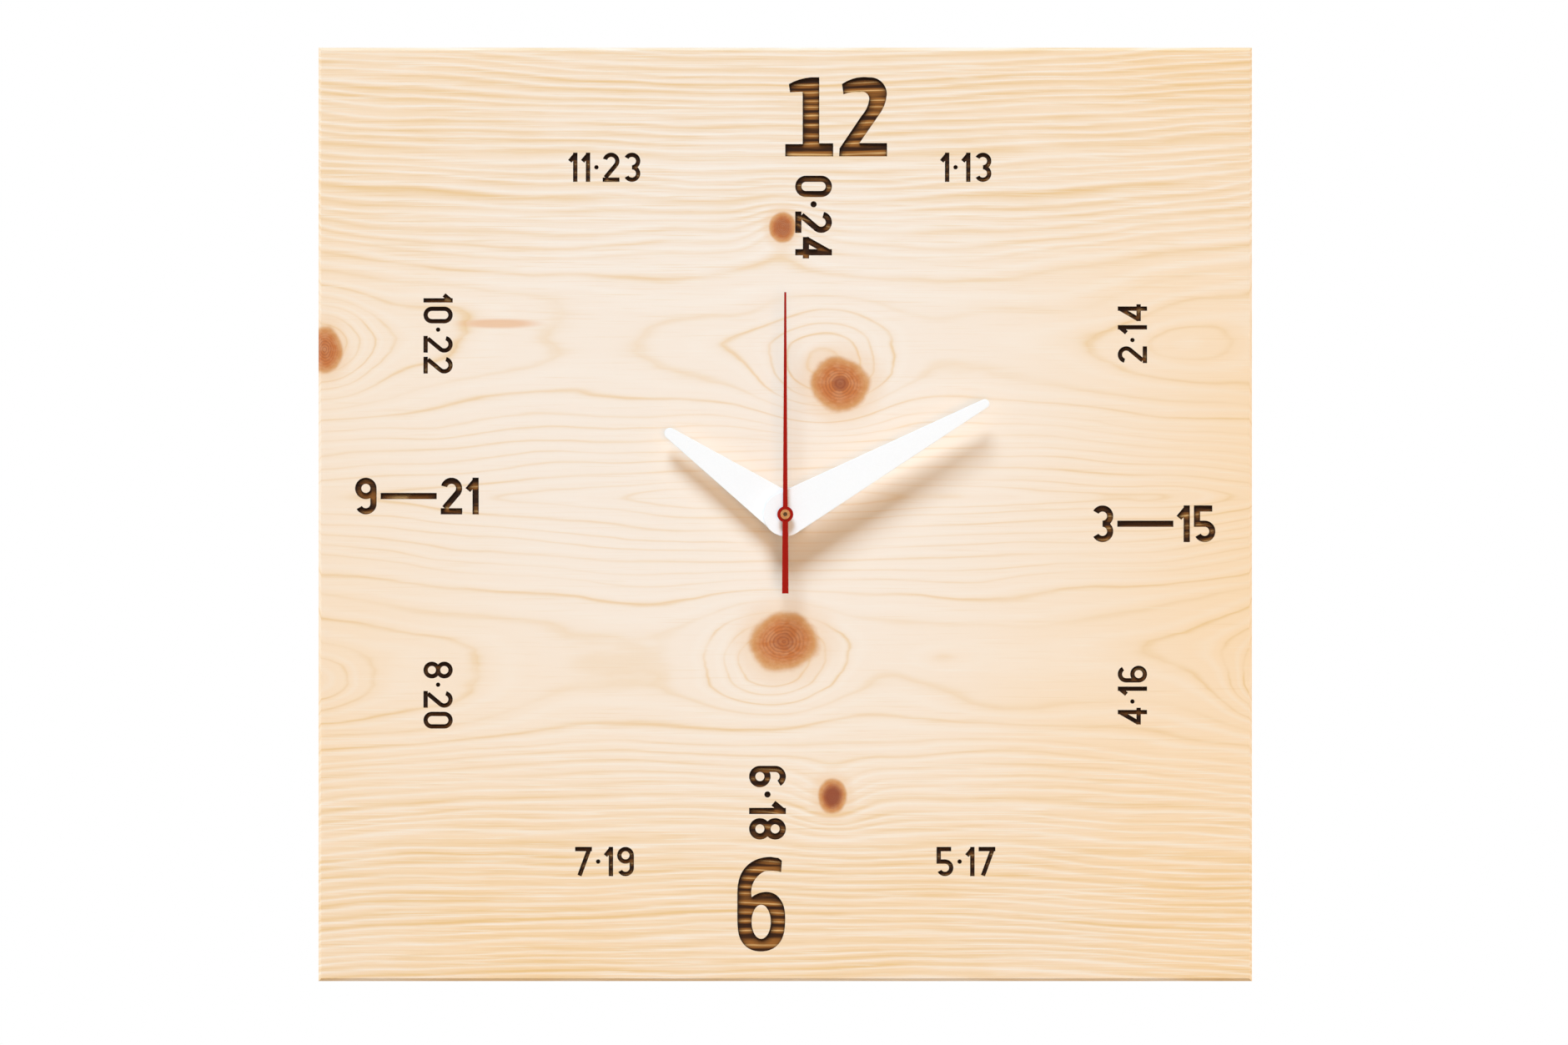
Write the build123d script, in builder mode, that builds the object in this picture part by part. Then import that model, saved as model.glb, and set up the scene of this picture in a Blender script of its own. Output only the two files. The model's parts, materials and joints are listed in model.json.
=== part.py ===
# Square wooden wall clock with an engraved dial, three hands and a battery quartz movement.
#
# Frame: X to the right seen from the front, Z up, the dial faces -Y, the wall is the plane Y = 0.
# The origin is the centre of the hanger plate's round entry hole, on the wall plane.
# Sketches are drawn on DIAL, whose origin is the hand axis on the wall plane: its x is right,
# its y is up and its normal points at the viewer, so a "depth" below is the distance from the wall.
# All values are millimetres and degrees.

import math
import os

from build123d import *

# Board: its thickness is the pocket for the movement plus the wood left in front of it
BOARD_SIDE = 300.0
BOARD_FRONT_WOOD = 4.0
BOARD_EDGE_CHAMFER = 1.0
ENGRAVING_DEPTH = 0.8
POCKET_FIT = 1.0
POCKET_CORNER_R = 6.0
CASE_SETBACK = 0.8

# Hanger plate and its screws
HANGER_FROM_TOP = 38.0
HANGER_WIDTH = 18.0
HANGER_THICKNESS = 1.5
HANGER_ENTRY_R = 4.5
HANGER_SLOT_WIDTH = 4.6
HANGER_SLOT_RISE = 10.0
HANGER_SCREW_GAP = 6.5
HANGER_END = 5.0
HANGER_CORNER_R = 3.0
HANGER_FIT = 0.1
HEAD_POCKET_DEPTH = 8.0
HEAD_POCKET_MARGIN = 2.0
SCREW_R = 1.5
SCREW_HEAD_R = 2.9
SCREW_LENGTH = 13.0
SCREW_POINT = 2.0
SCREW_CROSS_WIDTH = 0.6
SCREW_CROSS_LENGTH = 3.2
SCREW_CROSS_DEPTH = 0.9

# Battery and its bay
BATTERY_R = 7.1
BATTERY_BODY = 49.2
BATTERY_NUB = 1.0
BATTERY_NUB_R = 2.7
BATTERY_EDGE_ROUND = 0.6
BATTERY_FIT = 0.05
BATTERY_SETBACK = 0.75
BAY_FIT = 0.65
BAY_WALL = 1.5

# Movement case
CASE_CORNER_R = 4.0
CASE_WALL = 1.5
CASE_PANEL = 1.2
CASE_SPLIT = 8.2
CASE_FIT = 0.3
RUBBER_THICKNESS = 1.0
RUBBER_RIM = 6.0
POST_R = 2.0
POST_INSET = 3.0
POST_GAP = 0.5
BOSS_R = 1.5
BOSS_HEIGHT = 1.4
PIVOT_DEPTH = 1.0
MOTION_PIVOT_DEPTH = 0.5

# Hand shafts, from the inside out, and the fixing on the front of the board
RUN_FIT = 0.05
SECOND_ARBOR_R = 0.5
MINUTE_TUBE_R = 1.7
MINUTE_TUBE_STEP = 0.3
HOUR_TUBE_WALL = 0.75
BUSH_WALL = 1.45
BUSH_PROUD = 0.5
BUSH_FLANGE_RIM = 1.5
BUSH_FLANGE = 0.5
SHAFT_HOLE_FIT = 0.2
WASHER_RIM = 2.5
WASHER_THICKNESS = 0.5
NUT_WALL = 1.0
NUT_HEIGHT = 2.0
TUBE_PROUD = 0.35

# Hands
HAND_THICKNESS = 0.5
HAND_EDGE_ROUND = 0.12
HAND_COLLAR_LENGTH = 1.2
HAND_COLLAR_WALL = 1.1
HOUR_HAND_GAP = 2.05
HOUR_HAND_LENGTH = 46.8
HOUR_HAND_ROOT_R = 6.8
HOUR_HAND_TIP_R = 1.75
HOUR_HAND_ANGLE = 305.08
MINUTE_HAND_GAP = 1.45
MINUTE_HAND_LENGTH = 74.2
MINUTE_HAND_ROOT_R = 7.0
MINUTE_HAND_TIP_R = 1.45
MINUTE_HAND_ANGLE = 61.0
SECOND_HAND_GAP = 0.8
SECOND_HAND_THICKNESS = 0.3
SECOND_HAND_LENGTH = 70.7
SECOND_HAND_ROOT_WIDTH = 1.55
SECOND_HAND_TIP_WIDTH = 0.65
SECOND_TAIL_LENGTH = 25.2
SECOND_TAIL_ROOT_WIDTH = 1.75
SECOND_TAIL_END_WIDTH = 2.05
SECOND_HUB_RIM = 1.0
SECOND_BUSH_R = 1.55
SECOND_BUSH_LENGTH = 2.1
SECOND_BUSH_PROUD = 0.35
SECOND_BUSH_CHAMFER = 0.2

# Wheel work: teeth are straight sided and cut thin for free running, in shares of the module
WHEEL_TOOTH = 0.38
WHEEL_ADDENDUM = 0.9
WHEEL_DEDENDUM = 1.2
WHEEL_FLANK = 0.3
PINION_TOOTH = 0.33
PINION_ADDENDUM = 0.8
PINION_DEDENDUM = 1.3
PINION_FLANK = 0.1
ROTOR_TEETH = 12
INTERMEDIATE_TEETH = 60
INTERMEDIATE_PINION = 10
SECOND_TEETH = 60
SECOND_PINION = 8
THIRD_TEETH = 60
THIRD_PINION = 8
CENTRE_TEETH = 64
CANNON_TEETH = 12
MOTION_TEETH = 36
MOTION_PINION = 10
HOUR_TEETH = 40
SETTING_TEETH = 16
WHEEL_THICKNESS = 0.8
TOOTH_CLEAR = 0.2
WHEEL_GAP = 0.8
MOTION_GAP = 0.6
HOUR_WHEEL_PLAY = 0.1
CLUTCH_PLAY = 0.05
SHOULDER_GAP = 0.1
TRAIN_REAR_GAP = 0.65
ARBOR_R = 0.4
MOTION_ARBOR_R = 0.6
KNOB_ARBOR_R = 1.0
CANNON_LEAF = 0.4
THIRD_DISTANCE = 7.2
THIRD_BEARING = 180.0
INTERMEDIATE_OUT = 0.15
INTERMEDIATE_BEARING = 110.0
ROTOR_MODULE = 0.2
ROTOR_BEARING = 75.0
COLLAR_RIM = 1.6
COLLAR_THICKNESS = 0.5
SPRING_RIM = 1.2
SPRING_THICKNESS = 0.25

# Mid plate and the step motor
MID_PLATE_THICKNESS = 0.8
MAGNET_R = 2.4
MAGNET_LENGTH = 2.6
MAGNET_AIR = 0.5
STATOR_THICKNESS = 1.0
STATOR_HALF_WIDTH = 16.0
STATOR_ARM_WIDTH = 6.0
STATOR_RIM_BELOW = 1.5
STATOR_RIM_ABOVE = 1.7
STATOR_END = 2.0
CORE_WIDTH = 3.0
CORE_THICKNESS = 1.0
COIL_GAP = 0.2
COIL_TOP_GAP = 2.2
COIL_HALF_LENGTH = 9.0
COIL_HALF_HEIGHT = 2.8
COIL_PLAY = 0.05
BOBBIN_WALL = 0.6
BOBBIN_FLANGE = 0.8
BOBBIN_FIT = 0.05
WINDING_SETBACK = 0.3
PIN_R = 0.8
PIN_SHOULDER_R = 1.5
PIN_FIT = 0.05

# Circuit board, its parts and the battery contacts
CIRCUIT_SIDE_GAP = 0.5
CIRCUIT_WIDTH = 11.0
CIRCUIT_HEIGHT = 22.0
CIRCUIT_LIFT = 5.5
CIRCUIT_THICKNESS = 1.0
CIRCUIT_PIN_R = 0.7
CIRCUIT_PIN_INSET = 3.5
CHIP_R = 2.2
CHIP_TOP_R = 1.3
CHIP_HEIGHT = 0.9
CHIP_INSET = 0.3
CRYSTAL_R = 1.0
CRYSTAL_LENGTH = 6.0
CRYSTAL_INSET = 1.0
CONTACT_THICKNESS = 0.3
CONTACT_WIDTH = 3.0
CONTACT_TAB = 2.0
CONTACT_PLATE_HALF_HEIGHT = 5.2
CONTACT_PLATE_HALF_DEPTH = 5.0
LEAF_REACH = 2.5
LEAF_WIDTH = 5.0

# Setting knob
KNOB_R = 5.7
KNOB_HEIGHT = 2.2
KNOB_FLUTES = 24
KNOB_FLUTE_R = 0.4
KNOB_FIT = 0.5
KNOB_FLUSH = 0.2
KNOB_CUP_WALL = 1.0
KNOB_CUP_GAP = 0.5

# Numerals: the large ones are outlines, the others are strokes
LARGE_TWELVE_HEIGHT = 25.4
LARGE_SIX_HEIGHT = 30.4
LARGE_MARGIN = 9.6
LARGE_DIGIT_WIDTH = 15.4
LARGE_GAP = 1.9
SMALL_HEIGHT = 9.4
SMALL_STROKE = 1.4
SMALL_MARGIN = 38.5
SMALL_BEARING = 27.5
BOLD_HEIGHT = 11.8
BOLD_STROKE = 2.0
BOLD_DASH = 18.0
BOLD_MARGIN = 31.7
NINE_LIFT = 5.9
THREE_LIFT = -3.0
UPPER_LABEL_OFFSET = 9.1
UPPER_LABEL_MARGIN = 54.5
LOWER_LABEL_OFFSET = -5.7
LOWER_LABEL_MARGIN = 57.4
DIGIT_GAP = 1.3
DIGIT_CURL = 240.0
DIGIT_HOOK = 150.0
TWO_START = 165.0
TWO_LEAVE = -40.0


def polar(distance, bearing):
    """Point at a distance from the hand axis, bearing counted anticlockwise from x."""
    angle = math.radians(bearing)
    return (distance * math.cos(angle), distance * math.sin(angle))


def pair_module(distance, teeth, leaves):
    """Module that makes a wheel and a pinion run at a given centre distance."""
    return 2 * distance / (teeth + leaves)


def mesh_phase(phase, teeth, mate_teeth, bearing):
    """Turn of the mate's first tooth that puts a gap where this wheel has a tooth."""
    return bearing + 180 + (bearing - phase) * teeth / mate_teeth + 180 / mate_teeth


# Radii of the nested shafts and of what clamps the movement to the board
MINUTE_TUBE_REAR_R = MINUTE_TUBE_R - MINUTE_TUBE_STEP
HOUR_TUBE_R = MINUTE_TUBE_R + RUN_FIT + HOUR_TUBE_WALL
BUSH_BORE_R = HOUR_TUBE_R + RUN_FIT
BUSH_R = BUSH_BORE_R + BUSH_WALL
BUSH_FLANGE_R = BUSH_R + BUSH_FLANGE_RIM
SHAFT_HOLE_R = BUSH_R + SHAFT_HOLE_FIT
WASHER_R = BUSH_R + WASHER_RIM
RUBBER_R = BUSH_R + RUBBER_RIM
NUT_FLAT_R = BUSH_R + NUT_WALL
SPRING_R = MINUTE_TUBE_REAR_R + SPRING_RIM
COLLAR_R = MINUTE_TUBE_REAR_R + COLLAR_RIM
SECOND_HUB_R = SECOND_BUSH_R + SECOND_HUB_RIM
KNOB_RECESS_R = KNOB_R + KNOB_FIT
KNOB_CUP_R = KNOB_RECESS_R + KNOB_CUP_WALL

# Modules and centre distances
INTERMEDIATE_DISTANCE = THIRD_DISTANCE + INTERMEDIATE_OUT
INTERMEDIATE_MODULE = pair_module(INTERMEDIATE_DISTANCE, SECOND_TEETH, INTERMEDIATE_PINION)
SECOND_MODULE = pair_module(THIRD_DISTANCE, THIRD_TEETH, SECOND_PINION)
CENTRE_MODULE = pair_module(THIRD_DISTANCE, CENTRE_TEETH, THIRD_PINION)
ROTOR_DISTANCE = ROTOR_MODULE * (INTERMEDIATE_TEETH + ROTOR_TEETH) / 2
MOTION_MODULE = 2 * (MINUTE_TUBE_R + CANNON_LEAF) / CANNON_TEETH
MOTION_DISTANCE = MOTION_MODULE * (MOTION_TEETH + CANNON_TEETH) / 2
HOUR_MODULE = pair_module(MOTION_DISTANCE, HOUR_TEETH, MOTION_PINION)
SETTING_DISTANCE = MOTION_MODULE * (MOTION_TEETH + SETTING_TEETH) / 2

# Where each arbor stands on the dial, and how its teeth are turned to be in mesh
AXIS_AT = (0.0, 0.0)
THIRD_AT = polar(THIRD_DISTANCE, THIRD_BEARING)
INTERMEDIATE_AT = polar(INTERMEDIATE_DISTANCE, INTERMEDIATE_BEARING)
ROTOR_STEP = polar(ROTOR_DISTANCE, ROTOR_BEARING)
ROTOR_AT = (INTERMEDIATE_AT[0] + ROTOR_STEP[0], INTERMEDIATE_AT[1] + ROTOR_STEP[1])
MOTION_AT = (MOTION_DISTANCE, 0.0)
SETTING_AT = (MOTION_DISTANCE + SETTING_DISTANCE, 0.0)
THIRD_WHEEL_PHASE = mesh_phase(0, SECOND_PINION, THIRD_TEETH, THIRD_BEARING)
CENTRE_PHASE = mesh_phase(0, THIRD_PINION, CENTRE_TEETH, THIRD_BEARING - 180)
INTERMEDIATE_PHASE = mesh_phase(0, SECOND_TEETH, INTERMEDIATE_PINION, INTERMEDIATE_BEARING)
ROTOR_PHASE = mesh_phase(0, INTERMEDIATE_TEETH, ROTOR_TEETH, ROTOR_BEARING)
MOTION_PHASE = mesh_phase(0, CANNON_TEETH, MOTION_TEETH, 0)
SETTING_PHASE = mesh_phase(MOTION_PHASE, MOTION_TEETH, SETTING_TEETH, 0)
HOUR_PHASE = mesh_phase(0, MOTION_PINION, HOUR_TEETH, 180)

# Inside of the case: as wide as the cell with its contacts, the motor above the train and the knob need
STATOR_HOLE_R = MAGNET_R + MAGNET_AIR
STATOR_BOTTOM = ROTOR_AT[1] - STATOR_HOLE_R - STATOR_RIM_BELOW
STATOR_TOP = ROTOR_AT[1] + STATOR_HOLE_R + STATOR_RIM_ABOVE
CORE_MIDDLE = STATOR_TOP + COIL_GAP + COIL_HALF_HEIGHT
STATOR_ARM_TOP = CORE_MIDDLE + CORE_WIDTH / 2 + STATOR_END
CELL_NEEDS = (LEAF_REACH + BATTERY_BODY + BATTERY_NUB + CONTACT_THICKNESS) / 2
MOTOR_NEEDS = CORE_MIDDLE + COIL_HALF_HEIGHT + COIL_TOP_GAP
KNOB_NEEDS = SETTING_AT[0] + KNOB_CUP_R + KNOB_CUP_GAP
INNER = max(CELL_NEEDS, MOTOR_NEEDS, KNOB_NEEDS)
CASE_SIDE = 2 * (INNER + CASE_WALL)
POCKET_SIDE = CASE_SIDE + 2 * POCKET_FIT
BAY_HEIGHT = 2 * (BATTERY_R + BAY_FIT)
BAY_BOTTOM = -INNER
BAY_TOP = BAY_BOTTOM + BAY_HEIGHT
BAY_MIDDLE = BAY_BOTTOM + BAY_HEIGHT / 2
CHAMBER_BOTTOM = BAY_TOP + BAY_WALL

# Depth of the case: the wheels one behind the other, or the cell where that is more
PINION_LENGTH = WHEEL_THICKNESS + 2 * TOOTH_CLEAR
HOUR_STACK = BUSH_FLANGE + HOUR_WHEEL_PLAY + WHEEL_THICKNESS
MOTION_STACK = HOUR_STACK + MOTION_GAP + WHEEL_THICKNESS
MID_STACK = MOTION_STACK + TOOTH_CLEAR + WHEEL_GAP + MID_PLATE_THICKNESS
SHOULDER_STACK = MID_STACK + SHOULDER_GAP
CENTRE_STACK = SHOULDER_STACK + SPRING_THICKNESS + CLUTCH_PLAY + WHEEL_THICKNESS
COLLAR_STACK = CENTRE_STACK + CLUTCH_PLAY + COLLAR_THICKNESS
THIRD_STACK = COLLAR_STACK + WHEEL_GAP + WHEEL_THICKNESS
SECOND_STACK = THIRD_STACK + TOOTH_CLEAR + WHEEL_GAP + WHEEL_THICKNESS
INTERMEDIATE_STACK = SECOND_STACK + TOOTH_CLEAR + WHEEL_GAP + WHEEL_THICKNESS
TRAIN_NEEDS = INTERMEDIATE_STACK + TOOTH_CLEAR + TRAIN_REAR_GAP + BOSS_HEIGHT
CELL_DEPTH_NEEDS = BATTERY_FIT + 2 * BATTERY_R + BATTERY_SETBACK - CASE_PANEL
CASE_REAR = CASE_SETBACK
REAR_INNER = CASE_REAR + CASE_PANEL
FRONT_INNER = REAR_INNER + max(TRAIN_NEEDS, CELL_DEPTH_NEEDS)
CASE_FRONT = FRONT_INNER + CASE_PANEL
SPLIT = CASE_REAR + CASE_SPLIT
POCKET_DEPTH = CASE_FRONT + RUBBER_THICKNESS
BOARD_THICKNESS = POCKET_DEPTH + BOARD_FRONT_WOOD
BOSS_TOP = REAR_INNER + BOSS_HEIGHT
ARBOR_START = BOSS_TOP - PIVOT_DEPTH

# Depth of the rear face of each wheel and plate
HOUR_WHEEL_BACK = FRONT_INNER - HOUR_STACK
MOTION_WHEEL_BACK = FRONT_INNER - MOTION_STACK
CANNON_BACK = MOTION_WHEEL_BACK - TOOTH_CLEAR
MID_BACK = FRONT_INNER - MID_STACK
MID_FRONT = MID_BACK + MID_PLATE_THICKNESS
SHOULDER = FRONT_INNER - SHOULDER_STACK
CENTRE_WHEEL_BACK = FRONT_INNER - CENTRE_STACK
MINUTE_TUBE_BACK = FRONT_INNER - COLLAR_STACK
THIRD_PINION_BACK = CENTRE_WHEEL_BACK - TOOTH_CLEAR
THIRD_WHEEL_BACK = FRONT_INNER - THIRD_STACK
SECOND_PINION_BACK = THIRD_WHEEL_BACK - TOOTH_CLEAR
SECOND_WHEEL_BACK = FRONT_INNER - SECOND_STACK
INTERMEDIATE_PINION_BACK = SECOND_WHEEL_BACK - TOOTH_CLEAR
INTERMEDIATE_WHEEL_BACK = FRONT_INNER - INTERMEDIATE_STACK
ROTOR_PINION_BACK = INTERMEDIATE_WHEEL_BACK - TOOTH_CLEAR
STATOR_BACK = SECOND_WHEEL_BACK + WHEEL_THICKNESS
STATOR_FRONT = STATOR_BACK + STATOR_THICKNESS
CORE_FRONT = STATOR_FRONT + CORE_THICKNESS
MAGNET_BACK = (STATOR_BACK + STATOR_FRONT - MAGNET_LENGTH) / 2
COIL_MID = STATOR_FRONT + CORE_THICKNESS / 2
COIL_HALF_DEPTH = MID_BACK - COIL_PLAY - COIL_MID

# Depth of the fixing and the hands, counted forward from the board
NUT_BACK = BOARD_THICKNESS + WASHER_THICKNESS
NUT_FRONT = NUT_BACK + NUT_HEIGHT
BUSH_FRONT = NUT_FRONT + BUSH_PROUD
HOUR_HAND_AT = BUSH_FRONT + HOUR_HAND_GAP + HAND_COLLAR_LENGTH
HOUR_TUBE_FRONT = HOUR_HAND_AT + HAND_THICKNESS + TUBE_PROUD
MINUTE_HAND_AT = HOUR_TUBE_FRONT + MINUTE_HAND_GAP + HAND_COLLAR_LENGTH
MINUTE_TUBE_FRONT = MINUTE_HAND_AT + HAND_THICKNESS + TUBE_PROUD
SECOND_BUSH_FRONT = MINUTE_TUBE_FRONT + SECOND_HAND_GAP + SECOND_BUSH_LENGTH
SECOND_HAND_AT = SECOND_BUSH_FRONT - SECOND_BUSH_PROUD - SECOND_HAND_THICKNESS
SECOND_ARBOR_FRONT = SECOND_HAND_AT + SECOND_HAND_THICKNESS / 2

# Battery, contacts, circuit board, knob and posts
BATTERY_DEPTH = FRONT_INNER - BATTERY_FIT - BATTERY_R
BATTERY_LEFT = INNER - CONTACT_THICKNESS - BATTERY_NUB - BATTERY_BODY
CIRCUIT_LEFT = -INNER + CIRCUIT_SIDE_GAP
CIRCUIT_RIGHT = CIRCUIT_LEFT + CIRCUIT_WIDTH
CIRCUIT_BOTTOM = CHAMBER_BOTTOM + CIRCUIT_LIFT
CIRCUIT_TOP = CIRCUIT_BOTTOM + CIRCUIT_HEIGHT
CIRCUIT_MIDDLE = (CIRCUIT_LEFT + CIRCUIT_RIGHT) / 2
CIRCUIT_BACK = MID_BACK - CIRCUIT_THICKNESS
CONTACT_BACK = CIRCUIT_BACK - CONTACT_WIDTH
KNOB_BACK = CASE_REAR + KNOB_FLUSH
KNOB_FLOOR = KNOB_BACK + KNOB_HEIGHT + KNOB_FLUSH
POST_X = INNER - POST_INSET
POST_LOW = CHAMBER_BOTTOM + POST_R + POST_GAP
POST_HIGH = INNER - POST_INSET
POSTS = ((-POST_X, POST_LOW), (POST_X, POST_LOW), (-POST_X, POST_HIGH), (POST_X, POST_HIGH))

# Hanger, counted from the middle of its round entry
HALF = BOARD_SIDE / 2
HANGER_RISE = HALF - HANGER_FROM_TOP
ENTRY_TO_SLOT_END = HANGER_SLOT_RISE + HANGER_SLOT_WIDTH / 2
LOWER_SCREW = -(HANGER_ENTRY_R + HANGER_SCREW_GAP)
UPPER_SCREW = ENTRY_TO_SLOT_END + HANGER_SCREW_GAP
HANGER_BOTTOM = LOWER_SCREW - HANGER_END
HANGER_TOP = UPPER_SCREW + HANGER_END
HANGER_HEIGHT = HANGER_TOP - HANGER_BOTTOM
HANGER_MIDDLE = (HANGER_TOP + HANGER_BOTTOM) / 2
HEAD_POCKET_WIDTH = 2 * (HANGER_ENTRY_R + HEAD_POCKET_MARGIN)
HEAD_POCKET_BOTTOM = -HEAD_POCKET_WIDTH / 2
HEAD_POCKET_TOP = ENTRY_TO_SLOT_END + HEAD_POCKET_MARGIN
HEAD_POCKET_HEIGHT = HEAD_POCKET_TOP - HEAD_POCKET_BOTTOM
HEAD_POCKET_MIDDLE = (HEAD_POCKET_TOP + HEAD_POCKET_BOTTOM) / 2

# Places of the numerals, counted in from the board's edges
LARGE_TWELVE_BASE = HALF - LARGE_MARGIN - LARGE_TWELVE_HEIGHT
LARGE_SIX_BASE = LARGE_MARGIN - HALF
SMALL_FAR = HALF - SMALL_MARGIN
SMALL_NEAR = SMALL_FAR * math.tan(math.radians(SMALL_BEARING))
BOLD_AT = HALF - BOLD_MARGIN

DIAL = Plane(origin=(0, 0, -HANGER_RISE), x_dir=(1, 0, 0), z_dir=(0, -1, 0))
WALL = Plane(origin=(0, 0, 0), x_dir=(1, 0, 0), z_dir=(0, -1, 0))


def dial_plane(depth, at=AXIS_AT, turn=0):
    """Sketch plane parallel to the dial, at a depth from the wall and about a given point."""
    spot = DIAL.from_local_coords((at[0], at[1], depth))
    angle = math.radians(turn)
    return Plane(origin=spot, x_dir=(math.cos(angle), 0, math.sin(angle)), z_dir=DIAL.z_dir)


def disc(depth, length, radius, at=AXIS_AT, mode=Mode.ADD):
    """Round bar in the part being built, from a depth towards the viewer."""
    with BuildSketch(dial_plane(depth, at)) as section:
        Circle(radius)
    extrude(section.sketch, amount=length, mode=mode)


def block(left, right, bottom, top, back, front, mode=Mode.ADD):
    """Square-cornered block in the part being built, given by its six sides on the dial."""
    with BuildSketch(dial_plane(back)) as section:
        with Locations(((left + right) / 2, (bottom + top) / 2)):
            Rectangle(right - left, top - bottom)
    extrude(section.sketch, amount=front - back, mode=mode)


def turned(profile, at=AXIS_AT, mode=Mode.ADD):
    """Lathe-turned shape in the part being built, from (radius, depth) corners."""
    spot = DIAL.from_local_coords((at[0], at[1], 0))
    with BuildSketch(Plane(origin=spot, x_dir=(1, 0, 0), z_dir=(0, 0, -1))) as section:
        with BuildLine():
            Polyline(*profile, close=True)
        make_face()
    revolve(section.sketch, axis=Axis(spot, (0, -1, 0)), mode=mode)


def toothed(teeth, module, depth, length, at, phase, pinion=False):
    """Toothed disc in the part being built, with one tooth centred on the phase."""
    tooth = PINION_TOOTH if pinion else WHEEL_TOOTH
    flank = PINION_FLANK if pinion else WHEEL_FLANK
    addendum = PINION_ADDENDUM if pinion else WHEEL_ADDENDUM
    dedendum = PINION_DEDENDUM if pinion else WHEEL_DEDENDUM
    pitch_r = teeth * module / 2
    tip_r = pitch_r + addendum * module
    root_r = pitch_r - dedendum * module
    half_pitch_tooth = tooth * math.pi * module / 2
    corners = []
    for number in range(teeth):
        middle = math.radians(phase) + 2 * math.pi * number / teeth
        for radius, side in ((root_r, -1), (tip_r, -1), (tip_r, 1), (root_r, 1)):
            half_tooth = half_pitch_tooth - (radius - pitch_r) * flank
            angle = middle + side * half_tooth / radius
            corners.append((radius * math.cos(angle), radius * math.sin(angle)))
    with BuildSketch(dial_plane(depth, at)) as section:
        with BuildLine():
            Polyline(*corners, close=True)
        make_face()
    extrude(section.sketch, amount=length)


def stroke_digit(digit, left, height, stroke):
    """Draws one digit in the sketch being built and returns its width."""
    edge = stroke / 2
    bowl = (height - stroke) / 4
    width = 2 * bowl + stroke
    low = (left + width / 2, edge + bowl)
    high = (left + width / 2, edge + 3 * bowl)
    near = left + edge
    far = left + width - edge

    def line(*points):
        with BuildLine() as path:
            Polyline(*points)
        trace(path.line, line_width=stroke)

    def arc(centre, start, sweep):
        with BuildLine() as path:
            CenterArc(centre, bowl, start, sweep)
        trace(path.line, line_width=stroke)

    def ring(centre):
        arc(centre, 0, 180)
        arc(centre, 180, 180)

    if digit == "0":
        arc(high, 0, 180)
        arc(low, 180, 180)
        line((near, low[1]), (near, high[1]))
        line((far, low[1]), (far, high[1]))
    if digit == "1":
        stem = left + 1.5 * stroke
        line((stem, 0), (stem, height))
        line((left + edge / 2, height - 2 * stroke), (stem, height - edge))
        return 2 * stroke
    if digit == "2":
        arc(high, TWO_START, TWO_LEAVE - TWO_START)
        turn = math.radians(TWO_LEAVE)
        leave = (high[0] + bowl * math.cos(turn), high[1] + bowl * math.sin(turn))
        line(leave, (near + edge / 4, stroke))
        line((left, edge), (left + width, edge))
    if digit == "3":
        arc(high, DIGIT_HOOK, -DIGIT_CURL)
        arc(low, 90, -DIGIT_CURL)
    if digit == "4":
        stem = far - edge
        bar = edge + bowl
        line((stem, 0), (stem, height))
        line((left, bar), (left + width, bar))
        line((near - edge / 4, bar), (stem, height - edge))
    if digit == "5":
        bowl_top = low[1] + bowl
        line((far, height - edge), (near, height - edge), (near, bowl_top), (low[0], bowl_top))
        arc(low, 90, -DIGIT_CURL)
    if digit == "6":
        ring(low)
        line((near, low[1]), (near, high[1]))
        arc(high, 180, -DIGIT_HOOK)
    if digit == "7":
        line((left, height - edge), (left + width, height - edge))
        line((far - edge / 4, height - edge), (near + edge, edge / 4))
    if digit == "8":
        ring(low)
        ring(high)
    if digit == "9":
        ring(high)
        line((far, low[1]), (far, high[1]))
        arc(low, 0, -DIGIT_HOOK)
    return width


def stroke_label(text, height, stroke):
    """Sketch of a row of digits, dots and dashes, centred on its own origin."""
    with BuildSketch() as row:
        reach = 0
        for sign in text:
            if sign == "-":
                with Locations((reach + BOLD_DASH / 2, height / 2)):
                    Rectangle(BOLD_DASH, stroke)
                reach += BOLD_DASH + DIGIT_GAP
            elif sign == ".":
                with Locations((reach + stroke / 2, height / 2)):
                    Circle(stroke / 2)
                reach += stroke + DIGIT_GAP
            else:
                reach += stroke_digit(sign, reach, height, stroke) + DIGIT_GAP
    return row.sketch.moved(Location((-(reach - DIGIT_GAP) / 2, -height / 2, 0)))


def large_one(left, base):
    """The large 1: a stem on a slab foot with a curved flag. Values are shares of its size."""
    w = LARGE_DIGIT_WIDTH
    h = LARGE_TWELVE_HEIGHT
    with BuildLine() as outline:
        Polyline(
            (left + 0.535 * w, base + h),
            (left + 0.71 * w, base + h),
            (left + 0.71 * w, base + 0.165 * h),
            (left + w, base + 0.165 * h),
            (left + w, base),
            (left, base),
            (left, base + 0.155 * h),
            (left + 0.363 * w, base + 0.155 * h),
            (left + 0.363 * w, base + 0.815 * h),
            (left + 0.1 * w, base + 0.81 * h),
            (left + 0.075 * w, base + 0.915 * h),
        )
        ThreePointArc(
            (left + 0.075 * w, base + 0.915 * h),
            (left + 0.31 * w, base + 0.975 * h),
            (left + 0.535 * w, base + h),
        )
    make_face(outline.line)


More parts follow.
